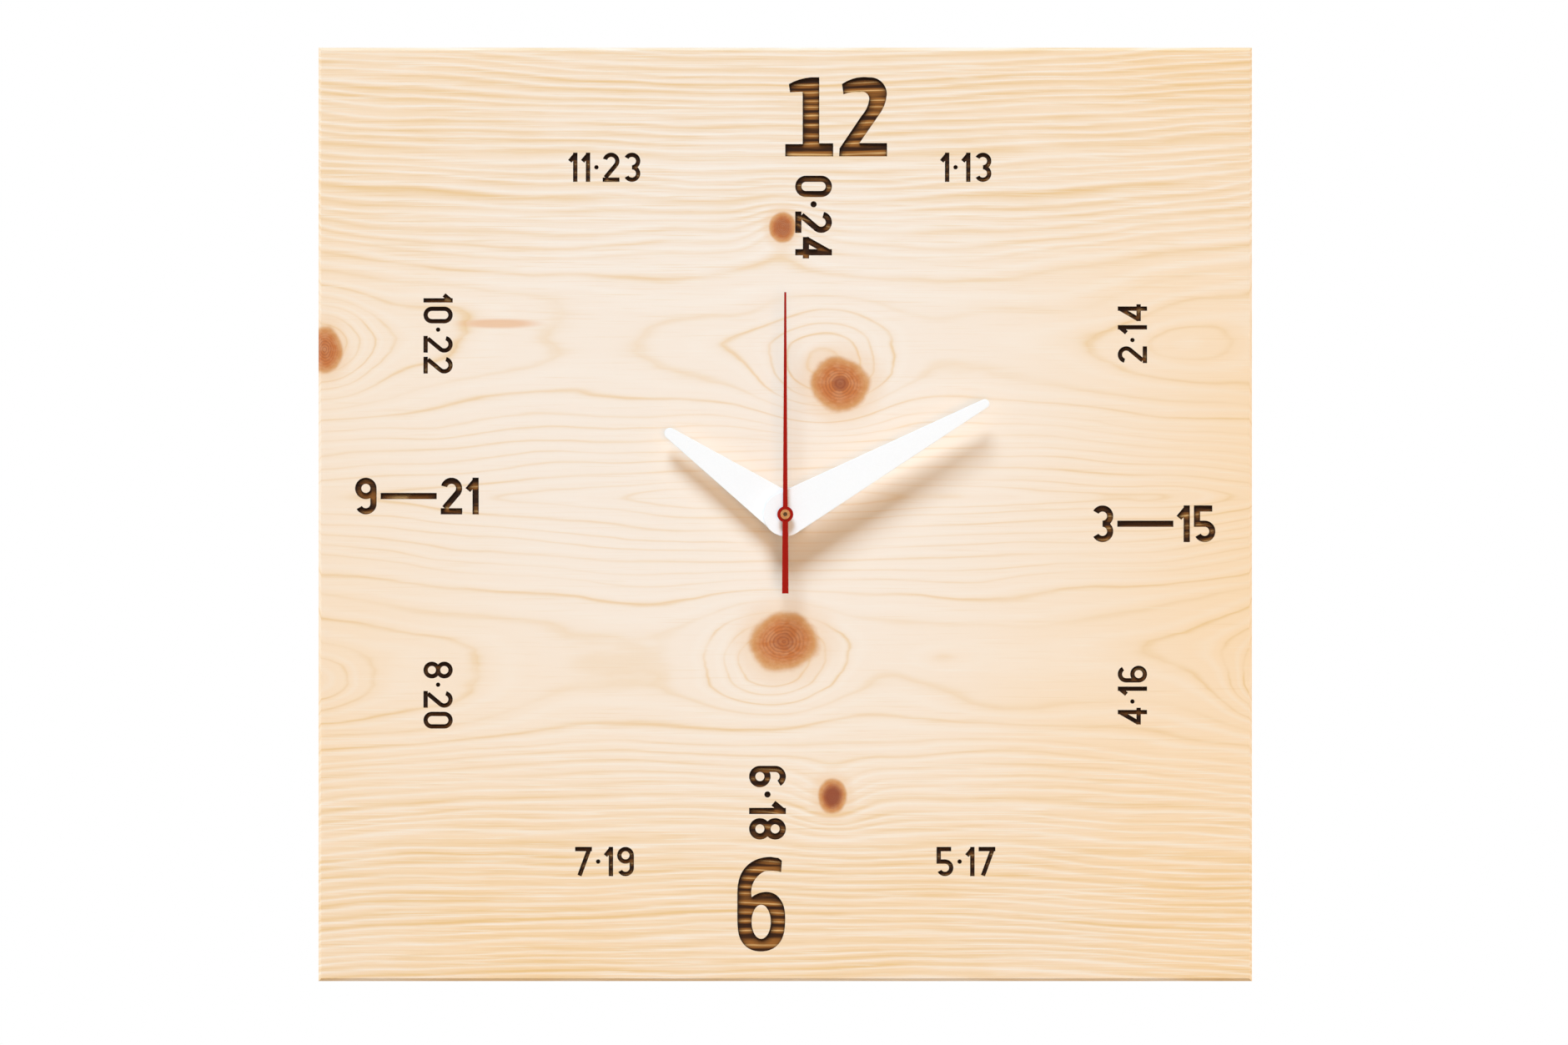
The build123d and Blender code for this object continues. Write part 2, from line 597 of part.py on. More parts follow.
def large_two(left, base):
    """The large 2: a round head that runs down a slant to a slab foot. Shares, as above."""
    w = LARGE_DIGIT_WIDTH
    h = LARGE_TWELVE_HEIGHT

    def spot(across, up):
        return (left + across * w, base + up * h)

    with BuildLine() as outline:
        Polyline(spot(0.008, 0.1), spot(0, 0), spot(1, 0), spot(1, 0.168), spot(0.425, 0.168))
        Line(spot(0.425, 0.168), spot(0.82, 0.515))
        ThreePointArc(spot(0.82, 0.515), spot(0.95, 0.655), spot(0.995, 0.78))
        ThreePointArc(spot(0.995, 0.78), spot(0.89, 0.94), spot(0.63, 1))
        ThreePointArc(spot(0.63, 1), spot(0.33, 0.99), spot(0.06, 0.915))
        Line(spot(0.06, 0.915), spot(0.09, 0.784))
        ThreePointArc(spot(0.09, 0.784), spot(0.26, 0.812), spot(0.43, 0.815))
        ThreePointArc(spot(0.43, 0.815), spot(0.585, 0.79), spot(0.625, 0.71))
        ThreePointArc(spot(0.625, 0.71), spot(0.575, 0.61), spot(0.47, 0.515))
        Line(spot(0.47, 0.515), spot(0.008, 0.1))
    make_face(outline.line)


def large_six(right, base):
    """The large 6: a tall hook over an upright oval bowl. Shares, as above."""
    w = LARGE_DIGIT_WIDTH
    h = LARGE_SIX_HEIGHT
    left = right - w

    def spot(across, up):
        return (left + across * w, base + up * h)

    up = (0, 1)
    down = (0, -1)
    right_way = (1, 0)
    left_way = (-1, 0)
    with BuildLine() as outline:
        Line(spot(0, 0.36), spot(0, 0.62))
        Spline(spot(0, 0.62), spot(0.28, 0.94), spot(0.7, 1), tangents=(up, right_way))
        Polyline(spot(0.7, 1), spot(0.86, 0.988), spot(0.93, 0.96), spot(0.914, 0.838))
        ThreePointArc(spot(0.914, 0.838), spot(0.74, 0.854), spot(0.58, 0.849))
        ThreePointArc(spot(0.58, 0.849), spot(0.377, 0.766), spot(0.3, 0.575))
        ThreePointArc(spot(0.3, 0.575), spot(0.43, 0.613), spot(0.595, 0.63))
        Spline(spot(0.595, 0.63), spot(0.9, 0.55), spot(1, 0.353), tangents=(right_way, down))
        Spline(spot(1, 0.353), spot(0.87, 0.085), spot(0.49, 0), tangents=(down, left_way))
        Spline(spot(0.49, 0), spot(0.12, 0.085), spot(0, 0.36), tangents=(left_way, up))
    make_face(outline.line)
    with Locations(spot(0.498, 0.314)):
        Ellipse(0.2 * w, 0.18 * h, mode=Mode.SUBTRACT)


def export(part, name):
    """Labels a finished sub-part and writes its file."""
    part.label = name
    export_step(part, os.path.join("parts", name + ".step"))


os.makedirs("parts", exist_ok=True)

# Engraved dial: the large 12 and 6 stand on the centre line, the rest are plain hour numbers
SMALL_LABELS = (
    ("1.13", SMALL_NEAR, SMALL_FAR, 0),
    ("2.14", SMALL_FAR, SMALL_NEAR, 90),
    ("4.16", SMALL_FAR, -SMALL_NEAR, 90),
    ("5.17", SMALL_NEAR, -SMALL_FAR, 0),
    ("7.19", -SMALL_NEAR, -SMALL_FAR, 0),
    ("8.20", -SMALL_FAR, -SMALL_NEAR, -90),
    ("10.22", -SMALL_FAR, SMALL_NEAR, -90),
    ("11.23", -SMALL_NEAR, SMALL_FAR, 0),
)
BOLD_LABELS = (
    ("3-15", BOLD_AT, THREE_LIFT, 0),
    ("9-21", -BOLD_AT, NINE_LIFT, 0),
    ("0.24", UPPER_LABEL_OFFSET, HALF - UPPER_LABEL_MARGIN, -90),
    ("6.18", LOWER_LABEL_OFFSET, LOWER_LABEL_MARGIN - HALF, -90),
)

with BuildSketch(dial_plane(BOARD_THICKNESS)) as engraving:
    large_one(0, LARGE_TWELVE_BASE)
    large_two(LARGE_DIGIT_WIDTH + LARGE_GAP, LARGE_TWELVE_BASE)
    large_six(0, LARGE_SIX_BASE)
    for text, across, up, turn in SMALL_LABELS:
        with Locations(Location((across, up, 0), (0, 0, turn))):
            add(stroke_label(text, SMALL_HEIGHT, SMALL_STROKE))
    for text, across, up, turn in BOLD_LABELS:
        with Locations(Location((across, up, 0), (0, 0, turn))):
            add(stroke_label(text, BOLD_HEIGHT, BOLD_STROKE))

# Board: one slab of solid pine, pocketed from behind for the movement and the hanger
SCREW_SPOTS = ((0, HANGER_RISE + LOWER_SCREW), (0, HANGER_RISE + UPPER_SCREW))
SCREW_NECK = SCREW_HEAD_R - SCREW_R
SCREW_SHANK = (
    (0, 0),
    (SCREW_R, 0),
    (SCREW_R, SCREW_LENGTH - SCREW_POINT),
    (0, SCREW_LENGTH),
)
SCREW_HEAD = ((0, 0), (SCREW_HEAD_R, 0), (SCREW_R, SCREW_NECK), (0, SCREW_NECK))

with BuildPart() as board:
    with BuildSketch(dial_plane(0)):
        Rectangle(BOARD_SIDE, BOARD_SIDE)
    extrude(amount=BOARD_THICKNESS)
    rim = board.faces().sort_by(Axis.Y)[0].edges()
    chamfer(rim, BOARD_EDGE_CHAMFER)
    with BuildSketch(dial_plane(0)):
        RectangleRounded(POCKET_SIDE, POCKET_SIDE, POCKET_CORNER_R)
    extrude(amount=POCKET_DEPTH, mode=Mode.SUBTRACT)
    disc(POCKET_DEPTH, BOARD_THICKNESS - POCKET_DEPTH, SHAFT_HOLE_R, mode=Mode.SUBTRACT)
    with BuildSketch(WALL):
        with Locations((0, HANGER_MIDDLE)):
            RectangleRounded(
                HANGER_WIDTH + 2 * HANGER_FIT,
                HANGER_HEIGHT + 2 * HANGER_FIT,
                HANGER_CORNER_R + HANGER_FIT,
            )
    extrude(amount=HANGER_THICKNESS, mode=Mode.SUBTRACT)
    with BuildSketch(WALL.offset(HANGER_THICKNESS)):
        with Locations((0, HEAD_POCKET_MIDDLE)):
            SlotOverall(HEAD_POCKET_HEIGHT, HEAD_POCKET_WIDTH, rotation=90)
    extrude(amount=HEAD_POCKET_DEPTH, mode=Mode.SUBTRACT)
    for spot in SCREW_SPOTS:
        turned(SCREW_SHANK, spot, mode=Mode.SUBTRACT)
        turned(SCREW_HEAD, spot, mode=Mode.SUBTRACT)
    extrude(engraving.sketch, amount=-ENGRAVING_DEPTH, mode=Mode.SUBTRACT)
export(board.part, "board")

# Keyhole hanger plate, let in flush with the back
with BuildPart() as hanger_plate:
    with BuildSketch(WALL):
        with Locations((0, HANGER_MIDDLE)):
            RectangleRounded(HANGER_WIDTH, HANGER_HEIGHT, HANGER_CORNER_R)
        Circle(HANGER_ENTRY_R, mode=Mode.SUBTRACT)
        with Locations((0, HANGER_SLOT_RISE / 2)):
            SlotCenterToCenter(HANGER_SLOT_RISE, HANGER_SLOT_WIDTH, rotation=90, mode=Mode.SUBTRACT)
    extrude(amount=HANGER_THICKNESS)
    for spot in SCREW_SPOTS:
        turned(SCREW_SHANK, spot, mode=Mode.SUBTRACT)
        turned(SCREW_HEAD, spot, mode=Mode.SUBTRACT)
export(hanger_plate.part, "hanger_plate")

# Two countersunk cross-head screws that hold the hanger plate
with BuildPart() as hanger_screws:
    for spot in SCREW_SPOTS:
        turned(SCREW_SHANK, spot)
        turned(SCREW_HEAD, spot)
        with BuildSketch(dial_plane(0, spot)):
            Rectangle(SCREW_CROSS_LENGTH, SCREW_CROSS_WIDTH)
            Rectangle(SCREW_CROSS_WIDTH, SCREW_CROSS_LENGTH)
        extrude(amount=SCREW_CROSS_DEPTH, mode=Mode.SUBTRACT)
export(hanger_screws.part, "hanger_screws")

# Front half of the movement case
with BuildPart() as front_case:
    with BuildSketch(dial_plane(SPLIT)):
        RectangleRounded(CASE_SIDE, CASE_SIDE, CASE_CORNER_R)
    extrude(amount=CASE_FRONT - SPLIT)
    with BuildSketch(dial_plane(SPLIT)):
        RectangleRounded(2 * INNER, 2 * INNER, CASE_CORNER_R - CASE_WALL)
    extrude(amount=FRONT_INNER - SPLIT, mode=Mode.SUBTRACT)
    for spot in POSTS:
        disc(MID_FRONT, FRONT_INNER - MID_FRONT, POST_R, spot)
    disc(FRONT_INNER, CASE_PANEL, BUSH_R, mode=Mode.SUBTRACT)
    disc(FRONT_INNER, MOTION_PIVOT_DEPTH + RUN_FIT, MOTION_ARBOR_R + RUN_FIT, MOTION_AT,
         mode=Mode.SUBTRACT)
export(front_case.part, "front_case")

# Rear half of the movement case, with the open battery bay and the cup for the setting knob
PIVOTS = (
    (AXIS_AT, SECOND_ARBOR_R),
    (THIRD_AT, ARBOR_R),
    (INTERMEDIATE_AT, ARBOR_R),
    (ROTOR_AT, ARBOR_R),
)
NOTCH = CONTACT_THICKNESS + CASE_FIT
with BuildPart() as rear_case:
    with BuildSketch(dial_plane(CASE_REAR)):
        RectangleRounded(CASE_SIDE, CASE_SIDE, CASE_CORNER_R)
    extrude(amount=SPLIT - CASE_REAR)
    with BuildSketch(dial_plane(REAR_INNER)):
        RectangleRounded(2 * INNER, 2 * INNER, CASE_CORNER_R - CASE_WALL)
    extrude(amount=SPLIT - REAR_INNER, mode=Mode.SUBTRACT)
    block(-INNER, INNER, BAY_TOP, CHAMBER_BOTTOM, REAR_INNER, SPLIT)
    block(
        -INNER + CASE_FIT, INNER - CASE_FIT, BAY_TOP, CHAMBER_BOTTOM,
        SPLIT, FRONT_INNER - CASE_FIT,
    )
    for side in (-1, 1):
        edge = side * (INNER - NOTCH)
        block(
            min(edge, side * INNER), max(edge, side * INNER), BAY_TOP, CHAMBER_BOTTOM,
            CONTACT_BACK - CASE_FIT, FRONT_INNER, mode=Mode.SUBTRACT,
        )
    block(-INNER, INNER, BAY_BOTTOM, BAY_TOP, CASE_REAR, REAR_INNER, mode=Mode.SUBTRACT)
    for spot in POSTS:
        disc(REAR_INNER, MID_BACK - REAR_INNER, POST_R, spot)
    disc(REAR_INNER, KNOB_FLOOR + CASE_PANEL - REAR_INNER, KNOB_CUP_R, SETTING_AT)
    disc(CASE_REAR, KNOB_FLOOR - CASE_REAR, KNOB_RECESS_R, SETTING_AT, mode=Mode.SUBTRACT)
    disc(KNOB_FLOOR, CASE_PANEL, KNOB_ARBOR_R + RUN_FIT, SETTING_AT, mode=Mode.SUBTRACT)
    for spot, radius in PIVOTS:
        disc(REAR_INNER, BOSS_HEIGHT, BOSS_R, spot)
        disc(ARBOR_START - RUN_FIT, PIVOT_DEPTH + RUN_FIT, radius + RUN_FIT, spot,
             mode=Mode.SUBTRACT)
export(rear_case.part, "rear_case")

# Mid plate: the second bearing of every arbor, with pins for the stator and the circuit board
STATOR_PIN_X = STATOR_HALF_WIDTH - STATOR_ARM_WIDTH / 2
STATOR_PINS = ((-STATOR_PIN_X, CORE_MIDDLE), (STATOR_PIN_X, CORE_MIDDLE))
CIRCUIT_PINS = ((CIRCUIT_MIDDLE, CIRCUIT_BOTTOM + CIRCUIT_PIN_INSET),
                (CIRCUIT_MIDDLE, CIRCUIT_TOP - CIRCUIT_PIN_INSET))
MID_HOLES = (
    (AXIS_AT, MINUTE_TUBE_R),
    (THIRD_AT, ARBOR_R),
    (INTERMEDIATE_AT, ARBOR_R),
    (ROTOR_AT, ARBOR_R),
    (MOTION_AT, MOTION_ARBOR_R),
    (SETTING_AT, KNOB_ARBOR_R),
)
MID_TOP = INNER - CASE_FIT
MID_BOTTOM = CHAMBER_BOTTOM + CONTACT_THICKNESS + CASE_FIT
with BuildPart() as mid_plate:
    with BuildSketch(dial_plane(MID_BACK)):
        with Locations((0, (MID_TOP + MID_BOTTOM) / 2)):
            RectangleRounded(2 * MID_TOP, MID_TOP - MID_BOTTOM, CASE_CORNER_R - CASE_WALL)
    extrude(amount=MID_PLATE_THICKNESS)
    for spot in STATOR_PINS:
        disc(CORE_FRONT, MID_BACK - CORE_FRONT, PIN_SHOULDER_R, spot)
        disc(STATOR_BACK - PIN_FIT, CORE_FRONT - STATOR_BACK + PIN_FIT, PIN_R, spot)
    for spot in CIRCUIT_PINS:
        disc(CIRCUIT_BACK - PIN_FIT, CIRCUIT_THICKNESS + PIN_FIT, CIRCUIT_PIN_R, spot)
    for spot, radius in MID_HOLES:
        disc(MID_BACK, MID_PLATE_THICKNESS, radius + RUN_FIT, spot, mode=Mode.SUBTRACT)
export(mid_plate.part, "mid_plate")

# Threaded bush pressed in the front panel; it carries the hands' tubes through the board
with BuildPart() as threaded_bush:
    turned((
        (BUSH_BORE_R, FRONT_INNER - BUSH_FLANGE),
        (BUSH_FLANGE_R, FRONT_INNER - BUSH_FLANGE),
        (BUSH_FLANGE_R, FRONT_INNER),
        (BUSH_R, FRONT_INNER),
        (BUSH_R, BUSH_FRONT),
        (BUSH_BORE_R, BUSH_FRONT),
    ))
export(threaded_bush.part, "threaded_bush")

with BuildPart() as rubber_washer:
    disc(CASE_FRONT, RUBBER_THICKNESS, RUBBER_R)
    disc(CASE_FRONT, RUBBER_THICKNESS, BUSH_R + RUN_FIT, mode=Mode.SUBTRACT)
export(rubber_washer.part, "rubber_washer")

with BuildPart() as dial_washer:
    disc(BOARD_THICKNESS, WASHER_THICKNESS, WASHER_R)
    disc(BOARD_THICKNESS, WASHER_THICKNESS, BUSH_R + RUN_FIT, mode=Mode.SUBTRACT)
export(dial_washer.part, "dial_washer")

with BuildPart() as hex_nut:
    with BuildSketch(dial_plane(NUT_BACK)):
        RegularPolygon(NUT_FLAT_R, 6, major_radius=False)
        Circle(BUSH_R, mode=Mode.SUBTRACT)
    extrude(amount=NUT_HEIGHT)
export(hex_nut.part, "hex_nut")

# Step motor: stator, coil core, bobbin and winding
with BuildPart() as stator:
    with BuildSketch(dial_plane(STATOR_BACK)):
        with Locations((0, (STATOR_TOP + STATOR_BOTTOM) / 2)):
            Rectangle(2 * STATOR_HALF_WIDTH, STATOR_TOP - STATOR_BOTTOM)
        arm_height = STATOR_ARM_TOP - ROTOR_AT[1]
        for spot in STATOR_PINS:
            with Locations((spot[0], ROTOR_AT[1] + arm_height / 2)):
                Rectangle(STATOR_ARM_WIDTH, arm_height)
        with Locations(ROTOR_AT):
            Circle(STATOR_HOLE_R, mode=Mode.SUBTRACT)
        with Locations(*STATOR_PINS):
            Circle(PIN_R + PIN_FIT, mode=Mode.SUBTRACT)
    extrude(amount=STATOR_THICKNESS)
export(stator.part, "stator")

with BuildPart() as coil_core:
    with BuildSketch(dial_plane(STATOR_FRONT)):
        with Locations((0, CORE_MIDDLE)):
            Rectangle(2 * STATOR_HALF_WIDTH, CORE_WIDTH)
        with Locations(*STATOR_PINS):
            Circle(PIN_R + PIN_FIT, mode=Mode.SUBTRACT)
    extrude(amount=CORE_THICKNESS)
export(coil_core.part, "coil_core")

BOBBIN_HOLE_HALF = CORE_WIDTH / 2 + BOBBIN_FIT
BOBBIN_HOLE_DEEP = CORE_THICKNESS / 2 + BOBBIN_FIT
SPOOL_HALF = BOBBIN_HOLE_HALF + BOBBIN_WALL
SPOOL_DEEP = BOBBIN_HOLE_DEEP + BOBBIN_WALL


def coil_block(half_length, half_height, half_depth, middle=0, mode=Mode.ADD):
    """Block about the coil's axis, used for each layer of the coil."""
    block(
        middle - half_length, middle + half_length,
        CORE_MIDDLE - half_height, CORE_MIDDLE + half_height,
        COIL_MID - half_depth, COIL_MID + half_depth, mode=mode,
    )


with BuildPart() as coil_bobbin:
    coil_block(COIL_HALF_LENGTH, SPOOL_HALF, SPOOL_DEEP)
    for side in (-1, 1):
        middle = side * (COIL_HALF_LENGTH - BOBBIN_FLANGE / 2)
        coil_block(BOBBIN_FLANGE / 2, COIL_HALF_HEIGHT, COIL_HALF_DEPTH, middle)
    coil_block(COIL_HALF_LENGTH, BOBBIN_HOLE_HALF, BOBBIN_HOLE_DEEP, mode=Mode.SUBTRACT)
export(coil_bobbin.part, "coil_bobbin")

with BuildPart() as coil_winding:
    coil_block(COIL_HALF_LENGTH - BOBBIN_FLANGE, COIL_HALF_HEIGHT - WINDING_SETBACK,
               COIL_HALF_DEPTH - WINDING_SETBACK)
    coil_block(COIL_HALF_LENGTH, SPOOL_HALF, SPOOL_DEEP, mode=Mode.SUBTRACT)
export(coil_winding.part, "coil_winding")

# Rotor: a round magnet pressed on the arbor of the driving pinion
with BuildPart() as rotor_magnet:
    disc(MAGNET_BACK, MAGNET_LENGTH, MAGNET_R, ROTOR_AT)
    disc(MAGNET_BACK, MAGNET_LENGTH, ARBOR_R, ROTOR_AT, mode=Mode.SUBTRACT)
export(rotor_magnet.part, "rotor_magnet")

with BuildPart() as rotor_pinion:
    toothed(ROTOR_TEETH, ROTOR_MODULE, ROTOR_PINION_BACK, PINION_LENGTH,
            ROTOR_AT, ROTOR_PHASE, pinion=True)
    disc(ARBOR_START, MID_FRONT - ARBOR_START, ARBOR_R, ROTOR_AT)
export(rotor_pinion.part, "rotor_pinion")

with BuildPart() as intermediate_wheel:
    toothed(INTERMEDIATE_TEETH, ROTOR_MODULE, INTERMEDIATE_WHEEL_BACK, WHEEL_THICKNESS,
            INTERMEDIATE_AT, 0)
    toothed(INTERMEDIATE_PINION, INTERMEDIATE_MODULE, INTERMEDIATE_PINION_BACK, PINION_LENGTH,
            INTERMEDIATE_AT, INTERMEDIATE_PHASE, pinion=True)
    disc(ARBOR_START, MID_FRONT - ARBOR_START, ARBOR_R, INTERMEDIATE_AT)
export(intermediate_wheel.part, "intermediate_wheel")

# Second wheel and pinion, moulded as one and pressed on the steel arbor of the second hand
with BuildPart() as second_wheel:
    toothed(SECOND_TEETH, INTERMEDIATE_MODULE, SECOND_WHEEL_BACK, WHEEL_THICKNESS, AXIS_AT, 0)
    disc(SECOND_WHEEL_BACK, SECOND_PINION_BACK - SECOND_WHEEL_BACK, SECOND_PINION * SECOND_MODULE / 2)
    toothed(SECOND_PINION, SECOND_MODULE, SECOND_PINION_BACK, PINION_LENGTH, AXIS_AT, 0, pinion=True)
    disc(SECOND_WHEEL_BACK, SECOND_PINION_BACK + PINION_LENGTH - SECOND_WHEEL_BACK, SECOND_ARBOR_R,
         mode=Mode.SUBTRACT)
export(second_wheel.part, "second_wheel")

with BuildPart() as second_arbor:
    disc(ARBOR_START, SECOND_ARBOR_FRONT - ARBOR_START, SECOND_ARBOR_R)
export(second_arbor.part, "second_arbor")

with BuildPart() as third_wheel:
    toothed(THIRD_TEETH, SECOND_MODULE, THIRD_WHEEL_BACK, WHEEL_THICKNESS, THIRD_AT, THIRD_WHEEL_PHASE)
    toothed(THIRD_PINION, CENTRE_MODULE, THIRD_PINION_BACK, PINION_LENGTH, THIRD_AT, 0, pinion=True)
    disc(ARBOR_START, MID_FRONT - ARBOR_START, ARBOR_R, THIRD_AT)
export(third_wheel.part, "third_wheel")

# Centre wheel: driven by the train, it grips the minute arbor only by the clutch spring
with BuildPart() as centre_wheel:
    toothed(CENTRE_TEETH, CENTRE_MODULE, CENTRE_WHEEL_BACK, WHEEL_THICKNESS, AXIS_AT, CENTRE_PHASE)
    disc(CENTRE_WHEEL_BACK, WHEEL_THICKNESS, MINUTE_TUBE_REAR_R + RUN_FIT, mode=Mode.SUBTRACT)
export(centre_wheel.part, "centre_wheel")

with BuildPart() as clutch_spring:
    disc(SHOULDER - SPRING_THICKNESS, SPRING_THICKNESS, SPRING_R)
    disc(SHOULDER - SPRING_THICKNESS, SPRING_THICKNESS, MINUTE_TUBE_REAR_R, mode=Mode.SUBTRACT)
export(clutch_spring.part, "clutch_spring")

with BuildPart() as clutch_collar:
    disc(MINUTE_TUBE_BACK, COLLAR_THICKNESS, COLLAR_R)
    disc(MINUTE_TUBE_BACK, COLLAR_THICKNESS, MINUTE_TUBE_REAR_R, mode=Mode.SUBTRACT)
export(clutch_collar.part, "clutch_collar")

with BuildPart() as minute_arbor:
    disc(MINUTE_TUBE_BACK, SHOULDER - MINUTE_TUBE_BACK, MINUTE_TUBE_REAR_R)
    disc(SHOULDER, MINUTE_TUBE_FRONT - SHOULDER, MINUTE_TUBE_R)
    toothed(CANNON_TEETH, MOTION_MODULE, CANNON_BACK, PINION_LENGTH, AXIS_AT, 0, pinion=True)
    disc(MINUTE_TUBE_BACK, MINUTE_TUBE_FRONT - MINUTE_TUBE_BACK, SECOND_ARBOR_R + RUN_FIT,
         mode=Mode.SUBTRACT)
export(minute_arbor.part, "minute_arbor")

# Motion work: brings the minute arbor's turn down twelve times for the hour hand
with BuildPart() as motion_wheel:
    toothed(MOTION_TEETH, MOTION_MODULE, MOTION_WHEEL_BACK, WHEEL_THICKNESS, MOTION_AT, MOTION_PHASE)
    pinion_front = HOUR_WHEEL_BACK + WHEEL_THICKNESS + TOOTH_CLEAR
    toothed(MOTION_PINION, HOUR_MODULE, MOTION_WHEEL_BACK, pinion_front - MOTION_WHEEL_BACK,
            MOTION_AT, 0, pinion=True)
    disc(MID_BACK, FRONT_INNER + MOTION_PIVOT_DEPTH - MID_BACK, MOTION_ARBOR_R, MOTION_AT)
export(motion_wheel.part, "motion_wheel")

with BuildPart() as hour_wheel:
    toothed(HOUR_TEETH, HOUR_MODULE, HOUR_WHEEL_BACK, WHEEL_THICKNESS, AXIS_AT, HOUR_PHASE)
    disc(HOUR_WHEEL_BACK, HOUR_TUBE_FRONT - HOUR_WHEEL_BACK, HOUR_TUBE_R)
    disc(HOUR_WHEEL_BACK, HOUR_TUBE_FRONT - HOUR_WHEEL_BACK, MINUTE_TUBE_R + RUN_FIT,
         mode=Mode.SUBTRACT)
export(hour_wheel.part, "hour_wheel")

# Setting pinion and the fluted knob on its rear end
with BuildPart() as setting_pinion:
    toothed(SETTING_TEETH, MOTION_MODULE, CANNON_BACK, PINION_LENGTH,
            SETTING_AT, SETTING_PHASE, pinion=True)
    disc(KNOB_BACK, CANNON_BACK + PINION_LENGTH - KNOB_BACK, KNOB_ARBOR_R, SETTING_AT)
export(setting_pinion.part, "setting_pinion")

with BuildPart() as setting_knob:
    with BuildSketch(dial_plane(KNOB_BACK, SETTING_AT)):
        Circle(KNOB_R)
        with PolarLocations(KNOB_R, KNOB_FLUTES):
            Circle(KNOB_FLUTE_R, mode=Mode.SUBTRACT)
        Circle(KNOB_ARBOR_R, mode=Mode.SUBTRACT)
    extrude(amount=KNOB_HEIGHT)
export(setting_knob.part, "setting_knob")

# Circuit board with its chip and quartz crystal
with BuildPart() as circuit_board:
    block(CIRCUIT_LEFT, CIRCUIT_RIGHT, CIRCUIT_BOTTOM, CIRCUIT_TOP, CIRCUIT_BACK, MID_BACK)
    for spot in CIRCUIT_PINS:
        disc(CIRCUIT_BACK, CIRCUIT_THICKNESS, CIRCUIT_PIN_R + PIN_FIT, spot, mode=Mode.SUBTRACT)
export(circuit_board.part, "circuit_board")

CHIP_AT = (CIRCUIT_RIGHT - CHIP_R - CHIP_INSET, (CIRCUIT_BOTTOM + CIRCUIT_TOP) / 2)
with BuildPart() as chip:
    turned((
        (0, CIRCUIT_BACK),
        (CHIP_R, CIRCUIT_BACK),
        (CHIP_TOP_R, CIRCUIT_BACK - CHIP_HEIGHT),
        (0, CIRCUIT_BACK - CHIP_HEIGHT),
    ), CHIP_AT)
export(chip.part, "chip")

CRYSTAL_X = CIRCUIT_LEFT + CRYSTAL_R + CRYSTAL_INSET
CRYSTAL_FOOT = (CIRCUIT_BOTTOM + CIRCUIT_TOP - CRYSTAL_LENGTH) / 2
with BuildPart() as quartz_crystal:
    foot = DIAL.from_local_coords((CRYSTAL_X, CRYSTAL_FOOT, CIRCUIT_BACK - CRYSTAL_R))
    with BuildSketch(Plane(origin=foot, x_dir=(1, 0, 0), z_dir=(0, 0, 1))):
        Circle(CRYSTAL_R)
    extrude(amount=CRYSTAL_LENGTH)
export(quartz_crystal.part, "quartz_crystal")

# Battery contacts: spring leaf for the flat end, plain plate for the other, both run to the circuit
CONTACT_BOTTOM = BAY_MIDDLE - CONTACT_PLATE_HALF_HEIGHT
TAB_BOTTOM = CIRCUIT_BOTTOM + CONTACT_THICKNESS
with BuildPart() as contact_minus:
    block(-INNER, -INNER + CONTACT_THICKNESS, CONTACT_BOTTOM, BAY_MIDDLE + CONTACT_PLATE_HALF_HEIGHT,
          BATTERY_DEPTH - CONTACT_PLATE_HALF_DEPTH, BATTERY_DEPTH + CONTACT_PLATE_HALF_DEPTH)
    block(-INNER, -INNER + CONTACT_THICKNESS, CONTACT_BOTTOM, TAB_BOTTOM + CONTACT_TAB,
          CONTACT_BACK, CIRCUIT_BACK)
    block(-INNER, CIRCUIT_LEFT + CONTACT_WIDTH, TAB_BOTTOM, TAB_BOTTOM + CONTACT_TAB,
          CIRCUIT_BACK - CONTACT_THICKNESS, CIRCUIT_BACK)
    leaf_foot = -INNER + CONTACT_THICKNESS
    leaf_tip = BATTERY_LEFT
    leaf_rise = CONTACT_PLATE_HALF_HEIGHT
    with BuildSketch(dial_plane(BATTERY_DEPTH - LEAF_WIDTH / 2)):
        with BuildLine():
            Polyline(
                (leaf_foot, BAY_MIDDLE + leaf_rise),
                (leaf_tip, BAY_MIDDLE + CONTACT_THICKNESS),
                (leaf_tip, BAY_MIDDLE - CONTACT_THICKNESS),
                (leaf_foot + CONTACT_THICKNESS, BAY_MIDDLE - leaf_rise / 2),
                (leaf_foot + CONTACT_THICKNESS, BAY_MIDDLE - leaf_rise / 2 + 2 * CONTACT_THICKNESS),
                (leaf_tip - CONTACT_THICKNESS, BAY_MIDDLE),
                (leaf_foot, BAY_MIDDLE + leaf_rise - 2 * CONTACT_THICKNESS),
                close=True,
            )
        make_face()
    extrude(amount=LEAF_WIDTH)
export(contact_minus.part, "contact_minus")

